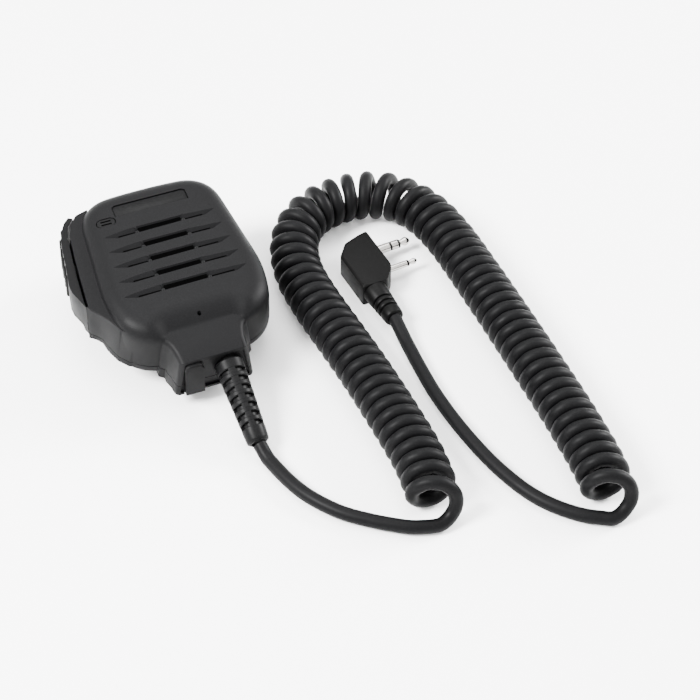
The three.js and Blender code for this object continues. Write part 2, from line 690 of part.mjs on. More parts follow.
const plunger = box(
  [barBackX + 2 * FIT, PLUNGER_Y - PLUNGER_LENGTH / 2, BAR_MIDDLE_Z - PLUNGER_HEIGHT / 2],
  [SWITCH_X - BAR_TRAVEL - FIT, PLUNGER_Y + PLUNGER_LENGTH / 2, BAR_MIDDLE_Z + PLUNGER_HEIGHT / 2],
);
part(head, "ptt_plunger", plunger, BLACK);

// ---------- Dust cap ----------
const capShape = roundedShape([
  [-CAP_WIDTH / 2, CAP_BOTTOM, 0.4],
  [CAP_WIDTH / 2, CAP_BOTTOM, 0.4],
  [CAP_WIDTH / 2, CAP_TOP, 2.4],
  [-CAP_WIDTH / 2, CAP_TOP, 2.4],
]);
const capPlate = raised(capShape, 0, CAP_THICKNESS)
  .rotateX(Math.PI / 2)
  .translate(CAP_X, RECESS_Y - FIT, 0);
const capStemLength = CAP_STEM_LENGTH + OVER;
const capStem = new THREE.CylinderGeometry(CAP_STEM_RADIUS, CAP_STEM_RADIUS, capStemLength, 16)
  .translate(CAP_X, RECESS_Y - FIT + (CAP_STEM_LENGTH - OVER) / 2, -JACK_DROP);
part(head, "dust_cap", join(solid(capPlate), capStem), SOFT_RUBBER);

// ---------- Case screws ----------
const screwGeometry = turned([
  [0, 0],
  [SCREW_HEAD_RADIUS - 0.4, 0],
  [SCREW_HEAD_RADIUS, 0.4],
  [SCREW_HEAD_RADIUS, SCREW_HEAD_HEIGHT],
  [SCREW_RADIUS, SCREW_HEAD_HEIGHT],
  [SCREW_RADIUS, SCREW_LENGTH + SCREW_HEAD_HEIGHT - FIT - 0.6],
  [0, SCREW_LENGTH + SCREW_HEAD_HEIGHT - FIT],
], 12);
const CROSS_REACH = 1.3;
const CROSS_HALF_WIDTH = 0.3;
const CROSS_DEPTH = 0.7;
const crossRecess = [
  box([-CROSS_REACH, -CROSS_HALF_WIDTH, -OVER], [CROSS_REACH, CROSS_HALF_WIDTH, CROSS_DEPTH]),
  box([-CROSS_HALF_WIDTH, -CROSS_REACH, -OVER], [CROSS_HALF_WIDTH, CROSS_REACH, CROSS_DEPTH]),
];
const screwShape = geometryOf(cut(solid(screwGeometry), ...crossRecess));
SCREW_SITES.forEach(([x, y], index) => {
  const screw = part(head, `case_screw_${index + 1}`, screwShape, STEEL);
  screw.position.set(x, y, BACK_Z);
});

// ---------- Rear clip ----------
const BASE_TOP = BACK_Z - FIT;
const FRAME_TOP_Z = BASE_TOP - BASE_THICKNESS - FIT;
const FRAME_UNDER = FRAME_TOP_Z - FRAME_THICKNESS;
const PIN_Z = FRAME_UNDER - PIN_BELOW_FRAME;
const baseDisc = cut(
  solid(post(0, SWIVEL_Y, BASE_RADIUS, BASE_TOP - BASE_THICKNESS, BASE_TOP, 32)),
  post(0, SWIVEL_Y, SWIVEL_SCREW_RADIUS + FIT, FRAME_UNDER, BASE_TOP + OVER),
);
part(head, "clip_base", baseDisc, DARK_STEEL);

const EAR_X = CLIP_WIDTH / 2 - EAR_THICKNESS;
function ear(side, x, reachUp) {
  const inner = side > 0 ? x : -x - EAR_THICKNESS;
  const shape = new THREE.Shape();
  shape.moveTo(-EAR_RADIUS, 0);
  shape.absarc(0, 0, EAR_RADIUS, Math.PI, 2 * Math.PI, false);
  shape.lineTo(EAR_RADIUS, reachUp);
  shape.lineTo(-EAR_RADIUS, reachUp);
  shape.closePath();
  return new THREE.ExtrudeGeometry(shape, { depth: EAR_THICKNESS, bevelEnabled: false, curveSegments: 5 })
    .rotateZ(Math.PI / 2)
    .rotateY(Math.PI / 2)
    .translate(inner, PIN_Y, PIN_Z);
}
const pinBore = new THREE.CylinderGeometry(PIN_RADIUS + FIT, PIN_RADIUS + FIT, CLIP_WIDTH + 2 * OVER, 16)
  .rotateZ(Math.PI / 2)
  .translate(0, PIN_Y, PIN_Z);
const framePlate = solid(
  raised(
    roundedShape([
      [CLIP_WIDTH / 2, JAW_Y, 3],
      [CLIP_WIDTH / 2, FRAME_TOP, 3],
      [-CLIP_WIDTH / 2, FRAME_TOP, 3],
      [-CLIP_WIDTH / 2, JAW_Y, 3],
    ]),
    FRAME_UNDER,
    FRAME_TOP_Z,
  ),
);
const earRise = FRAME_UNDER - PIN_Z + FRAME_THICKNESS / 2;
part(
  head,
  "clip_frame",
  cut(
    join(framePlate, ear(1, EAR_X, earRise), ear(-1, EAR_X, earRise)),
    post(0, SWIVEL_Y, SWIVEL_SCREW_RADIUS + FIT, FRAME_UNDER - OVER, BASE_TOP),
    pinBore,
  ),
  DARK_STEEL,
);
const swivelScrew = turned([
  [0, 0],
  [SWIVEL_HEAD_RADIUS - 0.6, 0],
  [SWIVEL_HEAD_RADIUS, 0.6],
  [SWIVEL_HEAD_RADIUS, SWIVEL_HEAD_HEIGHT],
  [SWIVEL_SCREW_RADIUS, SWIVEL_HEAD_HEIGHT],
  [SWIVEL_SCREW_RADIUS, SWIVEL_HEAD_HEIGHT + SWIVEL_SCREW_LENGTH],
  [0, SWIVEL_HEAD_HEIGHT + SWIVEL_SCREW_LENGTH],
], 20);
const swivelMesh = part(head, "swivel_screw", swivelScrew, STEEL);
swivelMesh.position.set(0, SWIVEL_Y, FRAME_UNDER - FIT - SWIVEL_HEAD_HEIGHT);

const pinRod = new THREE.CylinderGeometry(PIN_RADIUS, PIN_RADIUS, CLIP_WIDTH + 1, 16).rotateZ(Math.PI / 2);
part(head, "clip_pin", pinRod, STEEL).position.set(0, PIN_Y, PIN_Z);

// The lever is drawn level, with its origin on the pin, and turned so that it lies flat.
const leverGroup = new THREE.Group();
leverGroup.position.set(0, PIN_Y, PIN_Z);
leverGroup.rotation.x = -TILT;
head.add(leverGroup);
const jawReach = PIN_Y - JAW_Y;
const lipTop = (FRAME_UNDER - PIN_Z) * Math.cos(TILT) - jawReach * Math.sin(TILT) - FIT;
const LEVER_TOP = LEVER_THICKNESS - LEVER_DROP;
const leverPlate = raised(
  roundedShape([
    [CLIP_WIDTH / 2, -jawReach, 3],
    [CLIP_WIDTH / 2, LEVER_TAIL, 4],
    [-CLIP_WIDTH / 2, LEVER_TAIL, 4],
    [-CLIP_WIDTH / 2, -jawReach, 3],
  ]),
  -LEVER_DROP,
  LEVER_TOP,
);
const LIP_REACH = CLIP_WIDTH / 2 - 3; // half the length of the jaw lip
const jawLip = box([-LIP_REACH, -jawReach, -LEVER_DROP], [LIP_REACH, JAW_LIP - jawReach, lipTop]);
const LEVER_EAR_X = EAR_X - FIT - EAR_THICKNESS;
const leverEars = [1, -1].map((side) =>
  ear(side, LEVER_EAR_X, LEVER_DROP - LEVER_THICKNESS / 2)
    .translate(0, -PIN_Y, -PIN_Z)
    .rotateX(Math.PI),
);
part(
  leverGroup,
  "clip_lever",
  cut(join(solid(leverPlate), jawLip, ...leverEars), pinBore.clone().translate(0, -PIN_Y, -PIN_Z)),
  DARK_STEEL,
);

// Torsion spring round the pin, with one leg towards the frame and one towards the lever.
const springCoil = new THREE.Shape().absarc(0, 0, SPRING_RADIUS, 0, 2 * Math.PI, false);
springCoil.holes.push(new THREE.Path().absarc(0, 0, PIN_RADIUS + FIT, 0, 2 * Math.PI, true));
const springBody = new THREE.ExtrudeGeometry(springCoil, {
  depth: SPRING_LENGTH,
  bevelEnabled: false,
  curveSegments: 8,
})
  .rotateY(Math.PI / 2)
  .translate(-SPRING_LENGTH / 2, PIN_Y, PIN_Z);
const springLeg = box(
  [-SPRING_LENGTH / 2, PIN_Y - 7, PIN_Z + SPRING_RADIUS - 0.9],
  [-SPRING_LENGTH / 2 + 1, PIN_Y - 0.5, PIN_Z + SPRING_RADIUS - 0.1],
);
part(head, "clip_spring", join(solid(springBody), springLeg), STEEL);

// ---------- Cable boot ----------
// Profile from the inner flange to the end collar, ringed on the way.
function bootRadius(along) {
  return THREE.MathUtils.lerp(BOOT_RADIUS, BOOT_END_RADIUS, along / BOOT_LENGTH);
}
const bootProfile = [
  [0, -WALL - 2 * FIT - BOOT_FLANGE],
  [BOOT_FLANGE_RADIUS, -WALL - 2 * FIT - BOOT_FLANGE],
  [BOOT_FLANGE_RADIUS, -WALL - 2 * FIT],
  [BOOT_NECK_RADIUS, -WALL - 2 * FIT],
  [BOOT_NECK_RADIUS, 1.4],
  [bootRadius(1.4), 1.8],
];
for (let ring = 0; ring < BOOT_RINGS; ring += 1) {
  const start = 4.2 + ring * BOOT_PITCH;
  bootProfile.push(
    [bootRadius(start), start],
    [bootRadius(start) - BOOT_GROOVE, start + 0.2],
    [bootRadius(start) - BOOT_GROOVE, start + BOOT_PITCH / 2],
    [bootRadius(start + BOOT_PITCH / 2), start + BOOT_PITCH / 2 + 0.2],
  );
}
bootProfile.push(
  [BOOT_END_RADIUS, BOOT_LENGTH - 0.6],
  [BOOT_END_RADIUS - 0.6, BOOT_LENGTH],
  [0, BOOT_LENGTH],
);
part(head, "cable_boot", turned(bootProfile, 20).applyMatrix4(bootFrame), SOFT_RUBBER);

// ---------- Head on its clip ----------
head.rotation.x = TILT;
head.updateMatrixWorld(true);
head.position.z = -new THREE.Box3().setFromObject(head, true).min.z;
head.updateMatrixWorld(true);

// ---------- Plug ----------
const PLUG_Z = PLUG_THICKNESS / 2;
const plug = new THREE.Group();
plug.position.set(PLUG_X, PLUG_Y, PLUG_Z);
plug.rotation.z = PLUG_TURN;
const TAIL_START = -PLUG_BELOW;
const plugShape = roundedShape([
  [-PLUG_DEPTH, TAIL_START, 2],
  [TAIL_X + TAIL_RADIUS + 0.4, TAIL_START, 0.6],
  [-0.6, TAIL_START + 5.2, 1.5],
  [0, TAIL_START + 7, 0.8],
  [0, PLUG_ABOVE, 0.6],
  [-PLUG_DEPTH + 5.2, PLUG_ABOVE - 1.9, 1.5],
  [-PLUG_DEPTH, PLUG_ABOVE - 8, 2.5],
]);
part(plug, "plug_body", raised(plugShape, -PLUG_Z, PLUG_Z, PLUG_EDGE, 2), PLUG_PLASTIC);

const TAIL_GROOVE_DEPTH = 0.7;
function tailRadius(along) {
  return THREE.MathUtils.lerp(TAIL_RADIUS, TAIL_END_RADIUS, along / TAIL_LENGTH);
}
const tailProfile = [[0, FIT], [TAIL_RADIUS, FIT]];
for (let groove = 0; groove < TAIL_GROOVES; groove += 1) {
  const start = TAIL_LENGTH - 2.6 - (TAIL_GROOVES - groove) * TAIL_GROOVE_PITCH;
  tailProfile.push(
    [tailRadius(start), start],
    [tailRadius(start) - TAIL_GROOVE_DEPTH, start + 0.2],
    [tailRadius(start) - TAIL_GROOVE_DEPTH, start + 1],
    [tailRadius(start + 1.2), start + 1.2],
  );
}
tailProfile.push(
  [TAIL_END_RADIUS, TAIL_LENGTH - 0.8],
  [TAIL_END_RADIUS - 0.8, TAIL_LENGTH],
  [0, TAIL_LENGTH],
);
const tail = turned(tailProfile, 20).rotateX(Math.PI / 2).translate(TAIL_X, TAIL_START, 0);
part(plug, "plug_relief", tail, PLUG_PLASTIC);

// A pin is stacked along X from the plug face: sleeve, rings and insulators, and a necked tip.
function addPin(name, y, { radius, sleeve, ring, tip }) {
  const alongX = (profile, sides = 16) =>
    turned(profile, sides).rotateY(Math.PI / 2).translate(0, y, 0);
  let reach = FIT;
  const disc = (piece, length, look, size = radius) => {
    const start = reach;
    const end = start + length;
    part(plug, `${name}_${piece}`, alongX([[0, start], [size, start], [size, end], [0, end]]), look);
    reach = end + PIN_GAP;
  };
  disc("sleeve", sleeve, NICKEL);
  disc("insulator_1", INSULATOR, BLACK);
  if (ring > 0) {
    disc("ring", ring, NICKEL);
    disc("insulator_2", INSULATOR, BLACK);
  }
  const tipProfile = [
    [0, reach],
    [radius * 0.72, reach],
    [radius * 0.6, reach + tip * 0.1],
    [radius * 0.95, reach + tip * 0.5],
    [radius * 0.95, reach + tip * 0.66],
    [radius * 0.35, reach + tip],
    [0, reach + tip],
  ];
  part(plug, `${name}_tip`, alongX(tipProfile), NICKEL);
}
addPin("pin_35", 0, LARGE_PIN);
addPin("pin_25", -PIN_SPACING, SMALL_PIN);
plug.updateMatrixWorld(true);

// ---------- Cord ----------
// Routes are chosen by hand. Their ends follow the boot and the plug.
const CORD_Z = CORD_DIAMETER / 2;
const COIL_Z = COIL_DIAMETER / 2;
const alongBoot = (distance) =>
  new THREE.Vector3(0, 0, distance).applyMatrix4(bootFrame).applyMatrix4(head.matrixWorld);
const bootEnd = alongBoot(BOOT_LENGTH + FIT);
const bootEndAhead = alongBoot(BOOT_LENGTH + 2);
const plugEnd = plug.localToWorld(new THREE.Vector3(TAIL_X, TAIL_START - TAIL_LENGTH - FIT, 0));
const plugEndAhead = plug.localToWorld(new THREE.Vector3(TAIL_X, TAIL_START - TAIL_LENGTH - 3, -0.3));

const coilRoute = [
  [50.5, -123.5], [52.5, -106], [52.3, -85], [51.3, -62], [49.6, -40], [48, -20], [48, -2],
  [52.3, 14], [61.5, 25.5], [74, 30.5], [87.5, 30], [98.5, 23.5], [105.5, 11.5], [108.6, -5],
  [109.5, -28], [109.9, -55], [110, -82], [109.8, -108], [108.8, -130], [107, -143.5],
].map(([x, y]) => new THREE.Vector3(x, y, COIL_Z));
const headLeadRoute = [
  bootEnd,
  bootEndAhead,
  ...[
    [6.6, -80.5], [9.5, -92.8], [13.6, -102.3], [20.5, -112.1], [28.6, -119.4], [37.2, -125.6],
    [44.5, -129], [49.6, -128.2],
  ].map(([x, y]) => new THREE.Vector3(x, y, CORD_Z)),
  new THREE.Vector3(50.9, -123.5 - FIT - 0.2, CORD_Z),
];
const plugLeadRoute = [
  plugEnd,
  plugEndAhead,
  ...[
    [73.8, -46], [73.3, -58.2], [73.2, -73.8], [74.6, -90.8], [77.3, -107.3], [80.7, -119.9], [84.9, -130.1],
    [90.2, -138], [96.5, -144.4], [102.6, -148.2], [106.8, -147.8],
  ].map(([x, y]) => new THREE.Vector3(x, y, CORD_Z)),
  new THREE.Vector3(107.6, -143.5 - FIT - 0.4, CORD_Z),
];

// A round section of a number of sides, carried along a route.
function tube(route, diameter, steps, sides) {
  const section = new THREE.Shape(
    Array.from({ length: sides }, (_, index) => {
      const angle = ((index + 0.5) * 2 * Math.PI) / sides;
      return new THREE.Vector2(Math.cos(angle), Math.sin(angle)).multiplyScalar(diameter / 2);
    }),
  );
  const path = new THREE.CatmullRomCurve3(route);
  return new THREE.ExtrudeGeometry(section, { steps, extrudePath: path, bevelEnabled: false });
}
const cord = new THREE.Group();
part(cord, "lead_to_head", tube(headLeadRoute, CORD_DIAMETER, 18, 8), CORD_JACKET);
part(cord, "coil_cord", tube(coilRoute, COIL_DIAMETER, 40, 12), CORD_JACKET);
part(cord, "lead_to_plug", tube(plugLeadRoute, CORD_DIAMETER, 20, 8), CORD_JACKET);

// ---------- Whole part ----------
// The origin is under the middle of the head's box.
const handMicrophone = new THREE.Group();
handMicrophone.add(head, plug, cord);
const headMiddle = new THREE.Box3().setFromObject(head, true).getCenter(new THREE.Vector3());
handMicrophone.position.set(-headMiddle.x, -headMiddle.y, 0);

export default handMicrophone;
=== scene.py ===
# Hand microphone for a two-way radio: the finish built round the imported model.
from math import cos, pi, radians, sin

import bmesh
import bpy
from mathutils import Matrix, Vector


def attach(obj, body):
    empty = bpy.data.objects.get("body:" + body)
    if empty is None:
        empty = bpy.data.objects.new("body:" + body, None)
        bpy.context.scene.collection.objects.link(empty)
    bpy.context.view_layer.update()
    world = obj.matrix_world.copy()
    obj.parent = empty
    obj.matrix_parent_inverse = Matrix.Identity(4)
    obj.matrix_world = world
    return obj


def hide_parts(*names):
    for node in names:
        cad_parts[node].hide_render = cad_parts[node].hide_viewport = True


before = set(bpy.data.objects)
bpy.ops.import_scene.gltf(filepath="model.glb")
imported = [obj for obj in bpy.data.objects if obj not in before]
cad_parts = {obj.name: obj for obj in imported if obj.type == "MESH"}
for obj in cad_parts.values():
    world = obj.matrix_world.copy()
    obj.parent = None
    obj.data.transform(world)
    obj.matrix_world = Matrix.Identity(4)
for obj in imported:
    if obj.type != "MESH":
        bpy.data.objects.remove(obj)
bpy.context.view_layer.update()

MM = 0.001

# Camera. It stands at the lower left of the microphone and looks down across the table that the
# microphone, its cord and its plug lie on.
view_point = bpy.data.objects.new("camera", bpy.data.cameras.new("camera"))
bpy.context.scene.collection.objects.link(view_point)
view_point.location = (-0.141268, -0.515102, 0.536157)
view_point.rotation_euler = (radians(44.81), 0, radians(-22.06))
view_point.data.lens = 104.94
view_point.data.sensor_width = 36
bpy.context.scene.camera = view_point

# Curly cord. One round cable in a smooth rubbery jacket, wound in tight turns that keep their
# set, with a plain lead at each end. It lies in a loose U on the table, from the boot under the
# head to the tail of the plug.
CORD_DIAMETER = 0.0051
CORD_HEIGHT = CORD_DIAMETER / 2
COIL_HEIGHT = 0.0095
TURN_RADIUS = COIL_HEIGHT - CORD_HEIGHT
TURN_PITCH = 0.00525
END_LEAN, LEAN_TURNS = 0.0068, 0.9
AXIS_STEP = 0.25 * MM


def at_height(height, *places):
    return [Vector((x * MM, y * MM, height)) for x, y in places]


def smooth_route(points, steps):
    """Points along a smooth line through the given ones, steps to each stretch."""
    ends = [2 * points[0] - points[1], *points, 2 * points[-1] - points[-2]]
    line = []
    for a, b, c, d in zip(ends, ends[1:], ends[2:], ends[3:]):
        for step in range(steps):
            t = step / steps
            bow, twist = 2 * a - 5 * b + 4 * c - d, 3 * b - a - 3 * c + d
            line.append(0.5 * (2 * b + (c - a) * t + bow * t * t + twist * t**3))
    return [*line, points[-1].copy()]


def even_steps(line, step):
    """The same line with its points a step apart."""
    spaced, left = [line[0].copy()], step
    for a, b in zip(line, line[1:]):
        length = (b - a).length
        while left <= length:
            spaced.append(a.lerp(b, left / length))
            left += step
        left -= length
    return spaced


coil_axis = even_steps(smooth_route(at_height(
    COIL_HEIGHT,
    (55.36, -106.17), (57.36, -88.67), (57.16, -67.67), (56.16, -44.67), (54.46, -22.67),
    (52.86, -2.67), (52.86, 15.33), (57.16, 31.33), (66.36, 42.83), (78.86, 47.83),
    (92.36, 47.33), (103.36, 40.83), (110.36, 28.83), (113.46, 12.33), (114.36, -10.67),
    (114.76, -37.67), (114.86, -64.67), (114.66, -90.67), (113.66, -112.67), (111.86, -126.17),
), 24), AXIS_STEP)
UP = Vector((0, 0, 1))
SPAN = 24
headings = [
    (coil_axis[min(i + SPAN, len(coil_axis) - 1)] - coil_axis[max(i - SPAN, 0)]).normalized()
    for i in range(len(coil_axis))
]
turned, angles = 0.0, []
for i in range(len(coil_axis)):
    angles.append(turned)
    near, far = headings[max(i - SPAN, 0)], headings[min(i + SPAN, len(coil_axis) - 1)]
    bend = near.angle(far) / (2 * SPAN * AXIS_STEP)
    turned += AXIS_STEP / (TURN_PITCH / (1 - TURN_RADIUS * bend))
TURNS = round(turned)
STEPS = 28
coil_turns = []
place = 0
for step in range(TURNS * STEPS + 1):
    wanted = step / STEPS * angles[-1] / TURNS
    while place < len(angles) - 2 and angles[place + 1] < wanted:
        place += 1
    forward = headings[place]
    right = forward.cross(UP)
    angle = 2 * pi * step / STEPS - pi / 2
    from_end = min(step, TURNS * STEPS - step) / STEPS
    lean = END_LEAN * max(0.0, 1 - from_end / LEAN_TURNS) ** 1.5 * (1 if step < TURNS * STEPS / 2 else -1)
    around = (right * cos(angle) + UP * sin(angle)) * TURN_RADIUS
    coil_turns.append(coil_axis[place] - forward * lean + around)

BOOT_END = Vector((10.16, -57.29, 4.66)) * MM
PLUG_END = Vector((78.8, -16.0, 4.8)) * MM
lead_to_head = [
    BOOT_END,
    *at_height(CORD_HEIGHT, (11.3, -63.8), (14.36, -75.47), (18.46, -84.97), (25.36, -94.77),
               (33.46, -102.07), (42.06, -108.27), (47.0, -110.9)),
]
lead_to_plug = [
    PLUG_END,
    *at_height(CORD_HEIGHT, (78.66, -28.67), (78.16, -40.87), (78.06, -56.47), (79.46, -73.47),
               (82.16, -89.97), (85.56, -102.57), (89.76, -112.77), (95.06, -120.67),
               (101.36, -127.07), (106.8, -130.6)),
]
first_lead = smooth_route([*lead_to_head, coil_turns[0], coil_turns[4]], 10)[:-11]
last_lead = smooth_route([*lead_to_plug, coil_turns[-1], coil_turns[-5]], 10)[:-11]
cord_line = [*first_lead, *coil_turns, *reversed(last_lead)]
for point in cord_line:
    point.z = max(point.z, CORD_HEIGHT)


def node_material(name, roughness, metallic=0.0):
    """A named material with its Principled shader and the link that its nodes are wired with."""
    made = bpy.data.materials.new(name)
    made.use_nodes = True
    shader = made.node_tree.nodes["Principled BSDF"]
    shader.inputs["Roughness"].default_value = roughness
    shader.inputs["Metallic"].default_value = metallic
    return made, made.node_tree.nodes, made.node_tree.links, shader


def surface_group():
    """Node group shared by every moulded finish: fine grain in the surface and faint handling marks."""
    group = bpy.data.node_groups.new("moulded_surface", "ShaderNodeTree")
    for name, kind, value in (
        ("Base", "NodeSocketColor", (0.03, 0.03, 0.03, 1)),
        ("Worn", "NodeSocketColor", (0.05, 0.05, 0.05, 1)),
        ("Grain Scale", "NodeSocketFloat", 2600), ("Grain Depth", "NodeSocketFloat", 0.2),
        ("Dull", "NodeSocketFloat", 0.5), ("Shine", "NodeSocketFloat", 0.4),
    ):
        group.interface.new_socket(name=name, in_out="INPUT", socket_type=kind).default_value = value
    for name, kind in (
        ("Color", "NodeSocketColor"), ("Roughness", "NodeSocketFloat"), ("Normal", "NodeSocketVector"),
    ):
        group.interface.new_socket(name=name, in_out="OUTPUT", socket_type=kind)
    nodes, links = group.nodes, group.links
    inlet, outlet = nodes.new("NodeGroupInput"), nodes.new("NodeGroupOutput")
    place = nodes.new("ShaderNodeTexCoord").outputs["Object"]
    grain = nodes.new("ShaderNodeTexNoise")
    grain.inputs["Detail"].default_value = 3
    links.new(place, grain.inputs["Vector"])
    links.new(inlet.outputs["Grain Scale"], grain.inputs["Scale"])
    bump = nodes.new("ShaderNodeBump")
    bump.inputs["Distance"].default_value = 0.00006
    links.new(inlet.outputs["Grain Depth"], bump.inputs["Strength"])
    links.new(grain.outputs["Fac"], bump.inputs["Height"])
    links.new(bump.outputs["Normal"], outlet.inputs["Normal"])
    smears = nodes.new("ShaderNodeTexNoise")
    smears.inputs["Scale"].default_value = 55
    smears.inputs["Detail"].default_value = 5
    smears.inputs["Distortion"].default_value = 0.6
    links.new(place, smears.inputs["Vector"])
    spread = nodes.new("ShaderNodeMapRange")
    spread.inputs["From Min"].default_value = 0.4
    spread.inputs["From Max"].default_value = 0.68
    links.new(smears.outputs["Fac"], spread.inputs["Value"])
    sheen = nodes.new("ShaderNodeMix")
    links.new(spread.outputs["Result"], sheen.inputs["Factor"])
    links.new(inlet.outputs["Dull"], sheen.inputs["A"])
    links.new(inlet.outputs["Shine"], sheen.inputs["B"])
    links.new(sheen.outputs["Result"], outlet.inputs["Roughness"])
    specks = nodes.new("ShaderNodeMapRange")
    specks.inputs["From Min"].default_value = 0.45
    specks.inputs["From Max"].default_value = 0.8
    links.new(grain.outputs["Fac"], specks.inputs["Value"])
    tint = nodes.new("ShaderNodeMix")
    tint.data_type = "RGBA"
    links.new(specks.outputs["Result"], tint.inputs["Factor"])
    links.new(inlet.outputs["Base"], tint.inputs["A"])
    links.new(inlet.outputs["Worn"], tint.inputs["B"])
    links.new(tint.outputs["Result"], outlet.inputs["Color"])
    return group


moulded_surface = surface_group()


def moulded(name, base, worn, dull, shine, grain_scale, grain_depth):
    """A moulded plastic or rubber finish, from the shared surface group."""
    made, nodes, links, shader = node_material(name, dull)
    surface = nodes.new("ShaderNodeGroup")
    surface.node_tree = moulded_surface
    values = {"Base": (*base, 1), "Worn": (*worn, 1), "Grain Scale": grain_scale,
              "Grain Depth": grain_depth, "Dull": dull, "Shine": shine}
    for socket, value in values.items():
        surface.inputs[socket].default_value = value
    shader.inputs["Specular IOR Level"].default_value = 0.045
    links.new(surface.outputs["Color"], shader.inputs["Base Color"])
    links.new(surface.outputs["Roughness"], shader.inputs["Roughness"])
    links.new(surface.outputs["Normal"], shader.inputs["Normal"])
    return made


cord_jacket = moulded(
    "cord_jacket", (0.0022, 0.0022, 0.0024), (0.0036, 0.0036, 0.0038), 0.52, 0.42, 1500, 0.12,
)

cord_curve = bpy.data.curves.new("curly_cord", "CURVE")
cord_curve.dimensions = "3D"
cord_curve.bevel_depth = CORD_DIAMETER / 2
cord_curve.bevel_resolution = 5
cord_curve.use_fill_caps = True
strand = cord_curve.splines.new("POLY")
strand.points.add(len(cord_line) - 1)
for point, place in zip(strand.points, cord_line):
    point.co = (*place, 1)
strand.use_smooth = True
cord_curve.materials.append(cord_jacket)
curly_cord = bpy.data.objects.new("curly_cord", cord_curve)
bpy.context.scene.collection.objects.link(curly_cord)
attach(curly_cord, "case")
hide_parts("lead_to_head", "coil_cord", "lead_to_plug")

# Plug body. A right-angled block moulded in satin black rubber round the two pins, with a chamfer
# along its back edge.
PLUG_OUTLINE = [(-15.2, -20.2), (-4.9, -20.2), (-0.6, -15), (0, -13.2), (0, 7.3), (-10, 5.4), (-15.2, -0.7)]
PLUG_HALF_HEIGHT, PLUG_CORNER, BACK_CHAMFER, PLUG_EDGE = 4.8, 0.8, 2.1, 0.35
PLUG_PLACE = Matrix.Translation((0.08586, 0.020131, 0.0048)) @ Matrix.Rotation(radians(4.7), 4, "Z")
plug_rubber = moulded(
    "plug_rubber", (0.0012, 0.0012, 0.0012), (0.0022, 0.0022, 0.0022), 0.46, 0.36, 1800, 0.15,
)


def finished(name, bm, body, material, place=Matrix(), crease=32, nodes=()):
    """Makes the object from its bmesh: placed, closed up, facing outwards, and riding on its body."""
    bmesh.ops.transform(bm, matrix=place, verts=bm.verts)
    bmesh.ops.remove_doubles(bm, verts=bm.verts, dist=2e-6)
    bmesh.ops.recalc_face_normals(bm, faces=bm.faces)
    for face in bm.faces:
        face.smooth = True
    mesh = bpy.data.meshes.new(name)
    bm.to_mesh(mesh)
    bm.free()
    mesh.set_sharp_from_angle(angle=radians(crease))
    mesh.materials.append(material)
    made = bpy.data.objects.new(name, mesh)
    bpy.context.scene.collection.objects.link(made)
    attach(made, body)
    if nodes:
        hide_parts(*nodes)
    return made


def slab(outline, bottom, top):
    """A bmesh block of an outline in millimetres, raised from bottom to top."""
    bm = bmesh.new()
    base = bm.faces.new([bm.verts.new((x * MM, y * MM, bottom * MM)) for x, y in outline])
    raised = bmesh.ops.extrude_face_region(bm, geom=[base])["geom"]
    lifted = [v for v in raised if isinstance(v, bmesh.types.BMVert)]
    bmesh.ops.translate(bm, verts=lifted, vec=(0, 0, (top - bottom) * MM))
    bmesh.ops.recalc_face_normals(bm, faces=bm.faces)
    return bm


def rounded(bm, edges, width, segments=3):
    """Rounds edges of a bmesh by a width in millimetres."""
    bmesh.ops.bevel(bm, geom=list(edges), affect="EDGES", offset=width * MM, offset_type="OFFSET",
                    segments=segments, profile=0.5, material=-1, clamp_overlap=True)


def upright(edge):
    a, b = (v.co for v in edge.verts)
    return abs(a.x - b.x) < 1e-6 and abs(a.y - b.y) < 1e-6


plug = slab(PLUG_OUTLINE, -PLUG_HALF_HEIGHT, PLUG_HALF_HEIGHT)
rounded(plug, [e for e in plug.edges if upright(e)], PLUG_CORNER)
back_edges = [
    e for e in plug.edges
    if all(v.co.z > 4.7 * MM and v.co.x < -9 * MM for v in e.verts) and len(e.link_faces) == 2
]
rounded(plug, back_edges, BACK_CHAMFER, 1)
rim_edges = [e for e in plug.edges if len(e.link_faces) == 2 and e.calc_face_angle(0) > radians(40)]
rounded(plug, rim_edges, PLUG_EDGE, 2)
finished("plug_block", plug, "case", plug_rubber, PLUG_PLACE, nodes=["plug_body"])

# Plug tail. The rubber of the plug runs on down the cord as a tapered tail, moulded in one with it.
# Three grooves round it let it flex.
TAIL_ROOT, TAIL_TIP, TAIL_LENGTH, TAIL_GROOVES = 4.75, 3.8, 16.0, (6.2, 8.6, 11.0)


def spun(profile, steps=48, angle=2 * pi):
    """A bmesh of revolution about Z: the profile is radius and height pairs in millimetres."""
    bm = bmesh.new()
    chain = [bm.verts.new((radius * MM, 0, height * MM)) for radius, height in profile]
    for a, b in zip(chain, chain[1:]):
        bm.edges.new((a, b))
    bmesh.ops.spin(bm, geom=list(bm.verts) + list(bm.edges), cent=(0, 0, 0), axis=(0, 0, 1), angle=angle,
                   steps=steps, use_merge=angle > 6)
    bmesh.ops.remove_doubles(bm, verts=bm.verts, dist=1e-6)
    return bm


def tail_radius(along):
    return TAIL_ROOT + (TAIL_TIP - TAIL_ROOT) * along / TAIL_LENGTH


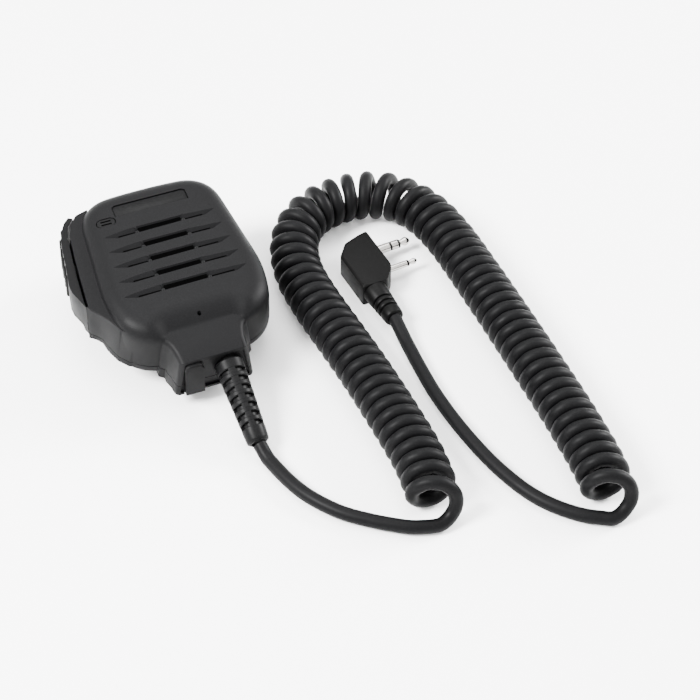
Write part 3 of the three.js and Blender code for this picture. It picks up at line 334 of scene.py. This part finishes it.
tail_profile = [(0, -0.5), (TAIL_ROOT, -0.5)]
for start in TAIL_GROOVES:
    tail_profile += [
        (tail_radius(start - 0.25), start - 0.25), (tail_radius(start) - 0.15, start),
        (tail_radius(start) - 0.8, start + 0.2), (tail_radius(start) - 0.8, start + 0.9),
        (tail_radius(start) - 0.15, start + 1.1), (tail_radius(start + 1.35), start + 1.35),
    ]
tail_profile += [
    (TAIL_TIP, 15.0), (TAIL_TIP - 0.2, 15.6), (TAIL_TIP - 0.7, TAIL_LENGTH), (2.5, TAIL_LENGTH),
    (2.5, 15.0), (0, 15.0),
]
tail_place = PLUG_PLACE @ Matrix.Translation((-0.0101, -0.0202, 0)) @ Matrix.Rotation(pi / 2, 4, "X")
finished("plug_tail", spun(tail_profile), "case", plug_rubber, tail_place, nodes=["plug_relief"])

# Plug pins. Turned and nickel-plated brass: a three-contact pin of 3.5 mm and a two-contact pin of
# 2.5 mm, their contacts kept apart by black nylon rings.
nickel, nodes, links, shader = node_material("nickel_plate", 0.16, 1.0)
turning = nodes.new("ShaderNodeTexNoise")
turning.inputs["Scale"].default_value = 900
turning.inputs["Detail"].default_value = 4
links.new(nodes.new("ShaderNodeTexCoord").outputs["Object"], turning.inputs["Vector"])
plate_tone = nodes.new("ShaderNodeValToRGB")
plate_tone.color_ramp.elements[0].color = (0.36, 0.35, 0.33, 1)
plate_tone.color_ramp.elements[1].color = (0.52, 0.50, 0.48, 1)
links.new(turning.outputs["Fac"], plate_tone.inputs["Fac"])
links.new(plate_tone.outputs["Color"], shader.inputs["Base Color"])
plate_gloss = nodes.new("ShaderNodeMapRange")
plate_gloss.inputs["To Min"].default_value = 0.1
plate_gloss.inputs["To Max"].default_value = 0.24
links.new(turning.outputs["Fac"], plate_gloss.inputs["Value"])
links.new(plate_gloss.outputs["Result"], shader.inputs["Roughness"])
nylon = moulded("black_nylon", (0.003, 0.003, 0.003), (0.006, 0.006, 0.006), 0.4, 0.3, 2500, 0.1)
PIN_SPACING, PIN_START, PIN_SEAM = 11.5, 0.3, 0.05
LONG_PIN = (("sleeve", 5.9), ("insulator_1", 0.7), ("ring", 2.7), ("insulator_2", 0.7), ("tip", 4.4))
SHORT_PIN = (("sleeve", 7.5), ("insulator_1", 0.7), ("tip", 3.6))
for pin, offset, size, stack in (("pin_35", 0, 1.75, LONG_PIN), ("pin_25", -PIN_SPACING, 1.25, SHORT_PIN)):
    reach = PIN_START
    pin_place = PLUG_PLACE @ Matrix.Translation((0, offset * MM, 0)) @ Matrix.Rotation(pi / 2, 4, "Y")
    for piece, long in stack:
        if piece == "tip":
            profile = [(0, 0), (0.76 * size, 0), (0.76 * size, 0.06 * long), (0.6 * size, 0.1 * long),
                       (0.6 * size, 0.17 * long), (0.74 * size, 0.3 * long), (0.93 * size, 0.56 * long),
                       (0.95 * size, 0.66 * long), (0.85 * size, 0.76 * long), (0.42 * size, 0.97 * long),
                       (0.26 * size, long), (0, long)]
        elif piece.startswith("insulator"):
            profile = [(0, 0), (0.97 * size, 0), (0.97 * size, long), (0, long)]
        else:
            profile = [(0, 0), (size - 0.08, 0), (size, 0.08), (size, long - 0.08),
                       (size - 0.08, long), (0, long)]
        finish, slot = (nylon, "black_plastic") if "insulator" in piece else (nickel, "nickel")
        turned_piece = spun([(r, reach + h) for r, h in profile])
        finished(f"{pin}_{piece}_turned", turned_piece, "case", finish, pin_place,
                                   nodes=[f"{pin}_{piece}"])
        reach += long + PIN_SEAM

# Cable boot. Soft black rubber pushed into the head and moulded round the cord: a tapered sleeve cut
# into rings, each tied to the next by four bridges so that it bends evenly, with a plain end collar.
ON_HEAD = Matrix.Translation((0.00486, 0.017331, 0.034974)) @ Matrix.Rotation(radians(6), 4, "X")
BOOT_ROOM = Matrix.Translation((0.0053, -0.0447, -0.0146))
BOOT_PLACE = ON_HEAD @ BOOT_ROOM @ Matrix.Rotation(radians(104.6), 4, "X")
BOOT_ROOT, BOOT_TIP, BOOT_LENGTH = 5.4, 4.1, 32.6
BOOT_RINGS, RING_PITCH, FIRST_GROOVE, GROOVE_WIDTH, GROOVE_DEPTH = 7, 3.5, 4.2, 1.75, 1.25
BRIDGE_ARC = 30
boot_rubber = moulded(
    "boot_rubber", (0.0024, 0.0024, 0.0025), (0.0045, 0.0045, 0.0047), 0.5, 0.4, 2200, 0.15,
)


def boot_radius(along):
    return BOOT_ROOT + (BOOT_TIP - BOOT_ROOT) * along / BOOT_LENGTH


boot_profile = [(0, -1.7), (4.2, -1.7), (4.2, 0.2), (5.0, 0.25), (boot_radius(0), 0.7), (boot_radius(1), 1.2)]
for ring in range(BOOT_RINGS):
    start = FIRST_GROOVE + ring * RING_PITCH
    end = start + GROOVE_WIDTH
    boot_profile += [
        (boot_radius(start), start - 0.3), (boot_radius(start) - 0.25, start),
        (boot_radius(start) - GROOVE_DEPTH, start + 0.05), (boot_radius(end) - GROOVE_DEPTH, end - 0.05),
        (boot_radius(end) - 0.25, end), (boot_radius(end), end + 0.3),
    ]
boot_profile += [
    (BOOT_TIP, 31.4), (BOOT_TIP - 0.15, 31.9), (BOOT_TIP - 1.0, BOOT_LENGTH), (2.7, BOOT_LENGTH),
    (2.6, 31.6), (0, 31.6),
]
boot = spun(boot_profile, 56)
for ring in range(BOOT_RINGS):
    start = FIRST_GROOVE + ring * RING_PITCH
    for quarter in range(4):
        low, high = boot_radius(start) - GROOVE_DEPTH - 0.3, boot_radius(start) - 0.12
        foot, head = start - 0.2, start + GROOVE_WIDTH + 0.2
        corner = [boot.verts.new((r * MM, 0, h * MM)) for r, h in (
            (low, foot), (high, foot), (high, head), (low, head))]
        bridge = boot.faces.new(corner)
        turn_to = radians(98 + 90 * quarter - BRIDGE_ARC / 2)
        bmesh.ops.rotate(boot, verts=corner, cent=(0, 0, 0), matrix=Matrix.Rotation(turn_to, 3, "Z"))
        bmesh.ops.spin(boot, geom=[bridge, *bridge.edges, *corner], cent=(0, 0, 0), axis=(0, 0, 1),
                       angle=radians(BRIDGE_ARC), steps=5)
finished("cable_boot_moulded", boot, "case", boot_rubber, BOOT_PLACE, nodes=["cable_boot"])

# Case. Two halves moulded in charcoal ABS with a fine spark-eroded texture: a deep front case with
# soft shoulders and a shallow rear cover, screwed together from behind with a hairline joint.
case_plastic = moulded(
    "case_plastic", (0.0028, 0.0028, 0.003), (0.005, 0.005, 0.0053), 0.5, 0.4, 3000, 0.35,
)
CASE_DEPTH, COVER_DEPTH, WALL = 24.5, 5.0, 2.0
SHOULDER_WIDTH, SHOULDER_DEPTH, REAR_ROUND = 7.5, 6.0, 3.2
PART_LINE = COVER_DEPTH - CASE_DEPTH
CHIN_Y, SIDE_Y, REAR_SLOPE, REAR_FLARE = -32.5, -16, 0.05, 0.014
DIP_START, DIP_RATE, DIP_MOST, DIP_FULL_X, DIP_END_X = -22, 0.04, 5.2, 11, 20


def case_form(inside):
    """The closed form of the whole case in the head's own frame, drawn in all round by a wall."""
    bm = bmesh.new()
    corners = [(14, -35.5), (26, CHIN_Y), (31, SIDE_Y), (26.2, 36.2), (0, 38), (-26.2, 36.2),
               (-31, SIDE_Y), (-26, CHIN_Y), (-14, -35.5)]
    reaches = (2.5, 8, 8.5, 11, 12, 11, 8.5, 8, 2.5)
    points = [bm.verts.new((x * MM, y * MM, 0)) for x, y in corners]
    outline = bm.faces.new(points)
    for reach in (2.5, 8, 8.5, 11, 12):
        at = [v for v in bm.verts if any(r == reach and (v.co - Vector((x * MM, y * MM, 0))).length < 1e-6
                                         for (x, y), r in zip(corners, reaches))]
        bmesh.ops.bevel(bm, geom=at, affect="VERTICES", offset=reach * MM, offset_type="OFFSET", segments=4,
                        profile=0.5, material=-1)
    for edge in [e for e in bm.edges if e.calc_length() > 7 * MM]:
        bmesh.ops.subdivide_edges(bm, edges=[edge], cuts=int(edge.calc_length() / (5.5 * MM)))
    outline = max(bm.faces, key=lambda f: f.calc_area())
    if inside:
        bmesh.ops.inset_region(bm, faces=[outline], thickness=inside * MM, use_even_offset=True,
                               use_boundary=True)
        bmesh.ops.delete(bm, geom=[f for f in bm.faces if f is not outline], context="FACES")
    floor_height = -CASE_DEPTH + REAR_ROUND + inside * 0.3
    bmesh.ops.translate(bm, verts=bm.verts, vec=(0, 0, floor_height * MM))
    top = bmesh.ops.extrude_face_region(bm, geom=[outline])["geom"]
    bmesh.ops.translate(bm, verts=[v for v in top if isinstance(v, bmesh.types.BMVert)],
                        vec=(0, 0, (-SHOULDER_DEPTH - floor_height) * MM))
    bmesh.ops.recalc_face_normals(bm, faces=bm.faces)
    caps = sorted((f for f in bm.faces if len(f.verts) > 8), key=lambda f: f.calc_center_median().z)
    quarter = [radians(a) for a in (0, 22, 45, 68, 90)]
    for cap, width, depth in (
        (caps[1], SHOULDER_WIDTH, SHOULDER_DEPTH - inside),
        (caps[0], REAR_ROUND, REAR_ROUND - inside * 0.7),
    ):
        for a, b in zip(quarter, quarter[1:]):
            bmesh.ops.inset_region(bm, faces=[cap], thickness=width * (cos(a) - cos(b)) * MM,
                                   depth=depth * (sin(b) - sin(a)) * MM, use_even_offset=True)
        for shrink in (0.95, 0.9, 0.86, 0.8, 0.7, 0.5, 0.4):
            bmesh.ops.inset_region(bm, faces=[cap], thickness=0.001 * MM, depth=0)
            bmesh.ops.scale(bm, verts=cap.verts, vec=(shrink, shrink, 1))
    walls = [e for e in bm.edges if abs(e.verts[0].co.z - e.verts[1].co.z) > 8 * MM]
    bmesh.ops.subdivide_edges(bm, edges=walls, cuts=2, use_grid_fill=True)
    return bm


def run_in(bm, inside):
    """Draws the cable end in towards the back and dips the face between the lower shoulders."""
    for v in bm.verts:
        x, y, z = (c / MM for c in v.co)
        steep = min(1.0, max(0.0, (y - inside - CHIN_Y) / (SIDE_Y - CHIN_Y)))
        y += max(0.0, -SHOULDER_DEPTH - z) * REAR_SLOPE * (1 - steep * steep * (3 - 2 * steep))
        beside = min(1.0, max(0.0, (abs(x) - DIP_FULL_X) / (DIP_END_X - DIP_FULL_X)))
        on_face = min(1.0, max(0.0, 1 + (z + inside) / SHOULDER_DEPTH))
        dip = min(DIP_MOST, DIP_RATE * max(0.0, DIP_START - y + inside) ** 2)
        z -= dip * (1 - beside * beside * (3 - 2 * beside)) * on_face
        flare = 1 + REAR_FLARE * min(1.0, max(0.0, (-SHOULDER_DEPTH - z) / 13.5))
        v.co = (x * flare * MM, y * MM, z * MM)


def smoothed(bm, levels):
    """The same form after subdivision, as a new bmesh."""
    mesh = bpy.data.meshes.new("form")
    bm.to_mesh(mesh)
    bm.free()
    form = bpy.data.objects.new("form", mesh)
    bpy.context.scene.collection.objects.link(form)
    rounding = form.modifiers.new("rounding", "SUBSURF")
    rounding.levels = rounding.render_levels = levels
    fine = bmesh.new()
    fine.from_object(form, bpy.context.evaluated_depsgraph_get())
    bpy.data.objects.remove(form)
    bpy.data.meshes.remove(mesh)
    return fine


def carved(bm, tools, how="DIFFERENCE"):
    """The form with its tools cut away or joined on, as a new bmesh."""
    pair = []
    for name, shape in (("form", bm), ("tool", tools)):
        bmesh.ops.recalc_face_normals(shape, faces=shape.faces)
        mesh = bpy.data.meshes.new(name)
        shape.to_mesh(mesh)
        shape.free()
        pair.append(bpy.data.objects.new(name, mesh))
        bpy.context.scene.collection.objects.link(pair[-1])
    cutting = pair[0].modifiers.new("cutting", "BOOLEAN")
    cutting.operation = how
    cutting.solver = "MANIFOLD"
    cutting.object = pair[1]
    result = bmesh.new()
    result.from_object(pair[0], bpy.context.evaluated_depsgraph_get())
    for spent in pair:
        mesh = spent.data
        bpy.data.objects.remove(spent)
        bpy.data.meshes.remove(mesh)
    return result


def kept_side(bm, height, above):
    """Cuts a closed form level at a height in millimetres, keeps one side and closes it."""
    cut = bmesh.ops.bisect_plane(bm, geom=[*bm.verts, *bm.edges, *bm.faces], plane_co=(0, 0, height * MM),
                                 plane_no=(0, 0, 1), clear_inner=above, clear_outer=not above, dist=1e-7)
    rim = [e for e in cut["geom_cut"] if isinstance(e, bmesh.types.BMEdge)]
    bmesh.ops.triangle_fill(bm, edges=rim, use_beauty=True)
    return bm


def block(low, high):
    """A box between two corners in millimetres."""
    bm = bmesh.new()
    bmesh.ops.create_cube(bm, size=1)
    size = [(b - a) * MM for a, b in zip(low, high)]
    middle = [(a + b) / 2 * MM for a, b in zip(low, high)]
    bmesh.ops.scale(bm, vec=size, verts=bm.verts)
    bmesh.ops.translate(bm, vec=middle, verts=bm.verts)
    return bm


def together(*shapes):
    """Several bmeshes in one."""
    whole = shapes[0]
    for other in shapes[1:]:
        mesh = bpy.data.meshes.new("joined")
        other.to_mesh(mesh)
        other.free()
        whole.from_mesh(mesh)
        bpy.data.meshes.remove(mesh)
    return whole


# Rail and boss, moulded in one with the case. The rail along the left side carries the talk bar, over
# a narrow web that closes the gap beneath it, and the boss at the cable end carries the boot and the
# earphone jack in a shallow recess.
RAIL = [(-22, 34.5), (-27, 33), (-30, 29.5), (-31.8, 24), (-33.2, 13.5), (-34.2, 4), (-35.2, -7),
        (-35.4, -10.7), (-36.2, -10.7)]
RAIL_END = [(-34.8, -13.6), (-32.6, -16.6), (-30.6, -19.6), (-28.2, -25), (-24.5, -30), (-22, -31)]
RAIL_FOOT = [(-34, -12.6), (-32.4, -14.8), (-31.7, -19), (-29.8, -24.6), (-26.8, -28.4), (-22, -31)]
rail = slab(RAIL + RAIL_END, -22, -4.5)
for v in rail.verts:
    for (x, y), foot in zip(RAIL_END, RAIL_FOOT):
        if v.co.z < -20 * MM and (v.co - Vector((x * MM, y * MM, v.co.z))).length < 1e-6:
            v.co = (foot[0] * MM, foot[1] * MM, v.co.z)
            break
rail_rim = [
    e for e in rail.edges
    if all(v.co.x < -26 * MM and v.co.y < 34 * MM and v.co.z > -5 * MM for v in e.verts)
]
rounded(rail, rail_rim, 0.9)
WEB = [(-26, -12.4), (-26, 33), (-29.6, 32.6), (-32.4, 29.6), (-33.9, 24), (-35.2, 13.5), (-36.3, 4),
       (-36.6, -7), (-35, -12)]
web = slab(WEB, -21.5, -19.4)
BOSS_FRONT = -45.6
BOSS = [(-11.8, BOSS_FRONT), (11.8, BOSS_FRONT), (12.2, -41), (12.9, -38), (14, -36.2), (15.5, -34.6),
        (15.5, -27), (-15.5, -27), (-15.5, -34.6), (-14, -36.2), (-12.9, -38), (-12.2, -41)]
boss = slab(BOSS, -24.3, 0)
for v in boss.verts:
    if v.co.z < -20 * MM:
        v.co.x *= 1.25 if abs(v.co.x) < 13.5 * MM else 1.15
cut = bmesh.ops.bisect_plane(boss, geom=[*boss.verts, *boss.edges, *boss.faces], clear_outer=True,
                             plane_co=(0, BOSS_FRONT * MM, -7 * MM), plane_no=(0, -0.2, 1))
bmesh.ops.contextual_create(boss, geom=[e for e in cut["geom_cut"] if isinstance(e, bmesh.types.BMEdge)])
bmesh.ops.recalc_face_normals(boss, faces=boss.faces)
flanks = [
    e for e in boss.edges
    if all(abs(v.co.x) < 16.5 * MM and v.co.z > -12 * MM for v in e.verts)
    and abs(e.verts[0].co.y - e.verts[1].co.y) > MM
]
flanks += [
    e for e in boss.edges
    if abs(e.verts[0].co.z - e.verts[1].co.z) > 5 * MM and e.verts[0].co.y < -45 * MM
]
rounded(boss, flanks, 1.9, 4)
fronts = [e for e in boss.edges if all(v.co.y < -45.5 * MM for v in e.verts) and len(e.link_faces) == 2
          and e.calc_face_angle(0) > radians(50) and abs(e.verts[0].co.z - e.verts[1].co.z) < 5 * MM]
rounded(boss, fronts, 0.5, 3)
recess = slab([(-13.2, -23.2), (13.2, -23.2), (11, -8.3), (-11, -8.3)], 44.7, 49)
bmesh.ops.rotate(recess, verts=recess.verts, matrix=Matrix.Rotation(pi / 2, 3, "X"))
rounded(recess, [e for e in recess.edges if abs(e.verts[0].co.y - e.verts[1].co.y) > 3 * MM], 0.7)
boss = carved(carved(boss, recess), block((-11.6, -49, -26), (-4, -44.72, -22)))
outer = smoothed(case_form(0), 2)
run_in(outer, 0)
inner = smoothed(case_form(WALL), 1)
run_in(inner, WALL)
whole = carved(carved(carved(outer, rail, "UNION"), web, "UNION"), boss, "UNION")
hollow = carved(whole, inner)
rear = kept_side(hollow.copy(), PART_LINE - 0.15, False)
front = kept_side(hollow, PART_LINE + 0.15, True)

# Sound slots. Five grooves sunk in the face, each run out to a point at its right end and a small ramp at its
# left, open between two bridges over the loudspeaker's black felt. The black strips set into the slots are
# painted shade.
SLOTS, SLOT_PITCH, SLOT_LENGTH, SLOT_GROWTH, SLOT_RISE = 5, 7.44, 44.2, 1.0, 0.35
BRIDGE_X = 8.9


def lofted(stations):
    """A block drawn along X through cross-sections: x, then the four corners as y and z pairs."""
    bm = bmesh.new()
    x, *corners = stations[0]
    face = bm.faces.new([bm.verts.new((x * MM, y * MM, z * MM)) for y, z in corners])
    for x, *corners in stations[1:]:
        grown = bmesh.ops.extrude_face_region(bm, geom=[face])["geom"]
        old, face = face, next(f for f in grown if isinstance(f, bmesh.types.BMFace))
        bmesh.ops.delete(bm, geom=[old], context="FACES_ONLY") if len(bm.faces) > 6 else None
        for v, (y, z) in zip(face.verts, corners):
            v.co = (x * MM, y * MM, z * MM)
    bmesh.ops.recalc_face_normals(bm, faces=bm.faces)
    return bm


grooves, openings, knobs, shade_strip_blocks = [], [], [], []
for row in range(SLOTS):
    y, half = (2 - row) * SLOT_PITCH + 0.25, (SLOT_LENGTH + (row - 2) * SLOT_GROWTH) / 2 + 0.5
    rise = SLOT_RISE / half
    stations = []
    for x, low, floor, high, depth in (
        (-half, -0.12, -0.04, 0.04, 0.06), (-half + 5.1, -1.9, -1.15, 0.7, 1.25), (-9.7, -1.8, -1.1, 1.3, 1.4),
        (-8.5, -1.8, 0.2, 1.3, 1.4), (8.5, -1.8, 0.1, 1.05, 1.4), (9.7, -1.8, -1.1, 1.0, 1.4),
        (half - 4.4, -2.05, -1.35, 0.35, 1.25), (half, -0.12, -0.04, 0.04, 0.06),
    ):
        axis = y + rise * x
        spread = (high - floor) / depth * 0.6
        stations.append((x, (axis + low, 0.6), (axis + low, -depth), (axis + floor, -depth),
                         (axis + high + spread, 0.6)))
    grooves.append(lofted(stations))
    openings.append(block((-8.1, y - 1.78, -3), (8.1, y + 0.8, -0.6)))
    # Three black strips per slot, painted shade: one in the opening and one in each end groove.
    for start, end, low, high, top in (
        (-8.05, 8.05, -1.75, 0.75, -0.62), (-half + 5.6, -9.8, -1.8, -0.55, -0.75),
        (9.8, half - 5.2, -1.85, -0.6, -0.75),
    ):
        axis = y + rise * (start + end) / 2
        shade_strip_blocks.append(block((start, axis + low, -2.2), (end, axis + high, top)))
    knobs += [(side * BRIDGE_X, y + rise * side * BRIDGE_X - 1.15) for side in (-1, 1)]
BADGE_BED = [(-14.3, 23.4), (14.3, 23.4), (14.3, 28.0), (13.2, 28.95), (-13.2, 28.95), (-14.3, 28.0)]
badge_bed = slab(BADGE_BED, -0.9, 0.6)
insert_bed = slab([(-18.3 + 1.75 * sx + 2.05 * cos(radians(a)), 21.8 + 2.05 * sin(radians(a)))
                   for sx, first in ((1, -90), (-1, 90)) for a in range(first, first + 181, 20)], -1.4, 0.6)
pinhole = bmesh.new()
bmesh.ops.create_cone(pinhole, cap_ends=True, segments=20, radius1=0.75 * MM, radius2=0.75 * MM, depth=9 * MM,
                      matrix=Matrix.Translation((0, -29.2 * MM, -3 * MM)))
front = carved(carved(front, together(badge_bed, insert_bed, pinhole, *grooves)), together(*openings))
for x, y in knobs:
    knob = bmesh.new()
    bmesh.ops.create_uvsphere(knob, u_segments=14, v_segments=8, radius=MM,
                              matrix=Matrix.Translation((x * MM, y * MM, -0.6 * MM))
                              @ Matrix.Diagonal((0.8, 0.75, 0.65, 1)))
    front = together(front, knob)
for node, shell in (("front_case", front), ("rear_cover", rear)):
    finished(f"{node}_moulded", shell, "case", case_plastic, ON_HEAD, 30, [node])

# Slot shade strips. Black strips with no shine, set into the openings and the end grooves of the slots:
# painted shade, standing in for the shade deep inside them.
slot_shade_black = moulded(
    "slot_shade_black", (0.0004, 0.0004, 0.0004), (0.001, 0.001, 0.001), 0.95, 0.9, 4000, 0.5,
)
# No shine on the strips, so the painted shade stays black.
slot_shade_black.node_tree.nodes["Principled BSDF"].inputs["Specular IOR Level"].default_value = 0.0
finished("slot_shade_strips", together(*shade_strip_blocks), "case", slot_shade_black, ON_HEAD)

# Badge plate. A thin satin strip of dark plastic, glued into its bed above the slots and left
# blank.
BADGE = [(-14.05, 23.65), (14.05, 23.65), (14.05, 27.9), (13.1, 28.7), (-13.1, 28.7), (-14.05, 27.9)]
badge_satin = moulded(
    "badge_satin", (0.0024, 0.0024, 0.0025), (0.004, 0.004, 0.0042), 0.36, 0.28, 900, 0.05,
)
badge = slab(BADGE, -0.85, -0.3)
rounded(badge, [e for e in badge.edges if all(v.co.z > -0.4 * MM for v in e.verts)], 0.15, 2)
finished("badge_strip", badge, "case", badge_satin, ON_HEAD, nodes=["badge_plate"])

# Vent insert. A small oval plug of soft rubber, pressed into the upper left corner of the face, with
# two slits across it.
insert = slab([(-18.3 + 1.6 * sx + 1.85 * cos(radians(a)), 21.8 + 1.85 * sin(radians(a)))
               for sx, first in ((1, -90), (-1, 90)) for a in range(first, first + 181, 15)], -1.3, -0.25)
slits = together(block((-20.3, 22.2, -0.9), (-16.3, 22.85, 1)),
                 block((-20.3, 20.75, -0.9), (-16.3, 21.4, 1)))
insert = carved(insert, slits)
finished("vent_plug", insert, "case", boot_rubber, ON_HEAD, nodes=["vent_insert"])

# Talk bar. A long ribbed bar of firm rubber over a plastic core, which slides in against the rail and
# closes the switch behind it. Six ribs along its upper half show the thumb where to press.
RIBS, RIB_TOP, RIB_PITCH, RIB_RADIUS = 6, 29.5, 4.35, 0.8
bar_rubber = moulded(
    "bar_rubber", (0.0022, 0.0022, 0.0023), (0.004, 0.004, 0.0042), 0.5, 0.4, 2600, 0.3,
)
BAR = [(-28, 33), (-30.85, 29.5), (-32.65, 24), (-34.05, 13.5), (-35.05, 4), (-36.05, -7), (-36.2, -10.2),
       (-37.6, -5.6), (-38.9, -1.6), (-39.0, 1.5), (-37.6, 9.6), (-36.3, 18.5), (-35.3, 24), (-33.9, 28),
       (-31.9, 31.6), (-29.6, 33.9)]
bar = slab(BAR, -18.8, -5.6)
outer_rim = [e for e in bar.edges if not upright(e) and all(v.co.z > -6 * MM for v in e.verts)
             and sum(v.co.x + 0.0347 + 0.115 * v.co.y for v in e.verts) < -0.0007]
rounded(bar, outer_rim, 1.8, 5)
rounded(bar, [e for e in bar.edges if not upright(e) and all(v.co.z < -18 * MM for v in e.verts)], 0.8, 3)
for rib in range(RIBS):
    y = RIB_TOP - RIB_PITCH * rib
    a, b = next((a, b) for a, b in zip(BAR[9:], BAR[10:]) if a[1] <= y <= b[1])
    x = a[0] + (b[0] - a[0]) * (y - a[1]) / (b[1] - a[1]) - 0.05
    ridge = bmesh.new()
    bmesh.ops.create_cone(ridge, cap_ends=True, segments=16, radius1=RIB_RADIUS * MM,
                          radius2=RIB_RADIUS * MM, depth=10.6 * MM,
                          matrix=Matrix.Translation((x * MM, y * MM, -12.4 * MM)))
    rounded(ridge, [e for e in ridge.edges if not upright(e)], 0.4, 2)
    bar = together(bar, ridge)
finished("talk_bar_ribbed", bar, "talk_bar", bar_rubber, ON_HEAD, 30, ["ptt_bar"])

# Dust cap. A soft rubber flap over the earphone jack, hinged at its lower edge, with a stem behind it
# that plugs the jack.
CAP = [(-3.5, -23.9), (3.5, -23.9), (3.5, -10.6), (2.9, -9.2), (1.9, -8.6), (-1.9, -8.6), (-2.9, -9.2),
       (-3.5, -10.6)]
CAP_THICKNESS = 1.9
cap_flap = slab(CAP, 0, CAP_THICKNESS)
cap_rim = [e for e in cap_flap.edges if all(v.co.z > 1.8 * MM and v.co.y > -23.5 * MM for v in e.verts)]
rounded(cap_flap, cap_rim, 0.6, 3)
cap_stem = spun([(0, -3.4), (1.5, -3.4), (1.7, -3.1), (1.7, 0.1), (0, 0.1)], 24)
bmesh.ops.translate(cap_stem, verts=cap_stem.verts, vec=(0, -14.6 * MM, 0))
cap_place = ON_HEAD @ Matrix.Translation((-7.8 * MM, -45 * MM, 0)) @ Matrix.Rotation(pi / 2, 4, "X")
finished("dust_cap_moulded", together(cap_flap, cap_stem), "cap", boot_rubber, cap_place,
         nodes=["dust_cap"])

# Clip and inner pieces. The clip is pressed from steel and lacquered black, its screws and pin are
# zinc plated, and the works inside are stock parts: felt, loudspeaker, capsule, board and switch.
lacquer = moulded("black_lacquer", (0.02, 0.02, 0.021), (0.035, 0.035, 0.036), 0.38, 0.27, 1200, 0.08)
zinc, nodes, links, shader = node_material("zinc_plate", 0.35, 1.0)
crystals = nodes.new("ShaderNodeTexNoise")
crystals.inputs["Scale"].default_value = 1400
links.new(nodes.new("ShaderNodeTexCoord").outputs["Object"], crystals.inputs["Vector"])
zinc_tone = nodes.new("ShaderNodeValToRGB")
zinc_tone.color_ramp.elements[0].color = (0.38, 0.38, 0.37, 1)
zinc_tone.color_ramp.elements[1].color = (0.62, 0.62, 0.6, 1)
links.new(crystals.outputs["Fac"], zinc_tone.inputs["Fac"])
links.new(zinc_tone.outputs["Color"], shader.inputs["Base Color"])
felt, nodes, links, shader = node_material("acoustic_felt", 0.95)
fibres = nodes.new("ShaderNodeTexNoise")
fibres.inputs["Scale"].default_value = 2200
fibres.inputs["Detail"].default_value = 6
links.new(nodes.new("ShaderNodeTexCoord").outputs["Object"], fibres.inputs["Vector"])
felt_tone = nodes.new("ShaderNodeValToRGB")
felt_tone.color_ramp.elements[0].color = (0.002, 0.002, 0.002, 1)
felt_tone.color_ramp.elements[1].color = (0.012, 0.012, 0.012, 1)
links.new(fibres.outputs["Fac"], felt_tone.inputs["Fac"])
links.new(felt_tone.outputs["Color"], shader.inputs["Base Color"])
board_mask = moulded("board_mask", (0.01, 0.09, 0.035), (0.015, 0.13, 0.05), 0.3, 0.22, 500, 0.05)
cone_paper = moulded("cone_paper", (0.025, 0.023, 0.02), (0.05, 0.046, 0.04), 0.85, 0.75, 1800, 0.6)
for finish, names in (
    (lacquer, ("clip_base", "clip_frame", "clip_lever", "speaker_magnet")),
    (zinc, ("clip_pin", "clip_spring", "swivel_screw", "case_screw_1", "case_screw_2", "case_screw_3",
            "case_screw_4", "speaker_frame", "mic_capsule")),
    (felt, ("grille_cloth",)),
    (cone_paper, ("speaker_cone",)),
    (board_mask, ("circuit_board",)),
    (boot_rubber, ("case_gasket", "capsule_boot")),
    (nylon, ("speaker_ring", "talk_switch", "earphone_jack", "ptt_plunger")),
):
    for name in names:
        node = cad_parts[name]
        node.data.materials.clear()
        node.data.materials.append(finish)
        softened = node.modifiers.new("edge", "BEVEL")
        softened.width = 0.00012
        softened.segments = 2
        softened.limit_method = "ANGLE"
        softened.angle_limit = radians(40)

# Table and light. A pale matt table top in a white room, under soft light from wide panels
# overhead and at each side.
table_top, nodes, links, shader = node_material("table_top", 0.6)
shader.inputs["Base Color"].default_value = (0.93, 0.93, 0.93, 1)
sheet = bmesh.new()
bmesh.ops.create_grid(sheet, x_segments=1, y_segments=1, size=6)
table_mesh = bpy.data.meshes.new("table_top")
sheet.to_mesh(table_mesh)
sheet.free()
table_mesh.materials.append(table_top)
table = bpy.data.objects.new("table_top", table_mesh)
bpy.context.scene.collection.objects.link(table)
room = bpy.data.worlds.new("room")
bpy.context.scene.world = room
room.use_nodes = True
room.node_tree.nodes["Background"].inputs["Color"].default_value = (1, 1, 1, 1)
room.node_tree.nodes["Background"].inputs["Strength"].default_value = 2.9
for name, place, aim, size, power in (
    ("panel_above", (0.1, 0.4, 1.2), (0.03, -0.03, 0), 0.8, 20),
    ("panel_left", (-0.85, -0.05, 0.95), (0, 0, 0.01), 0.45, 85),
    ("panel_right", (1.2, 0.05, 0.55), (0.03, 0, 0.01), 0.45, 60),
):
    lamp = bpy.data.lights.new(name, "AREA")
    lamp.size = size
    lamp.energy = power
    panel = bpy.data.objects.new(name, lamp)
    panel.location = place
    panel.rotation_euler = (Vector(aim) - Vector(place)).to_track_quat("-Z", "Y").to_euler()
    bpy.context.scene.collection.objects.link(panel)
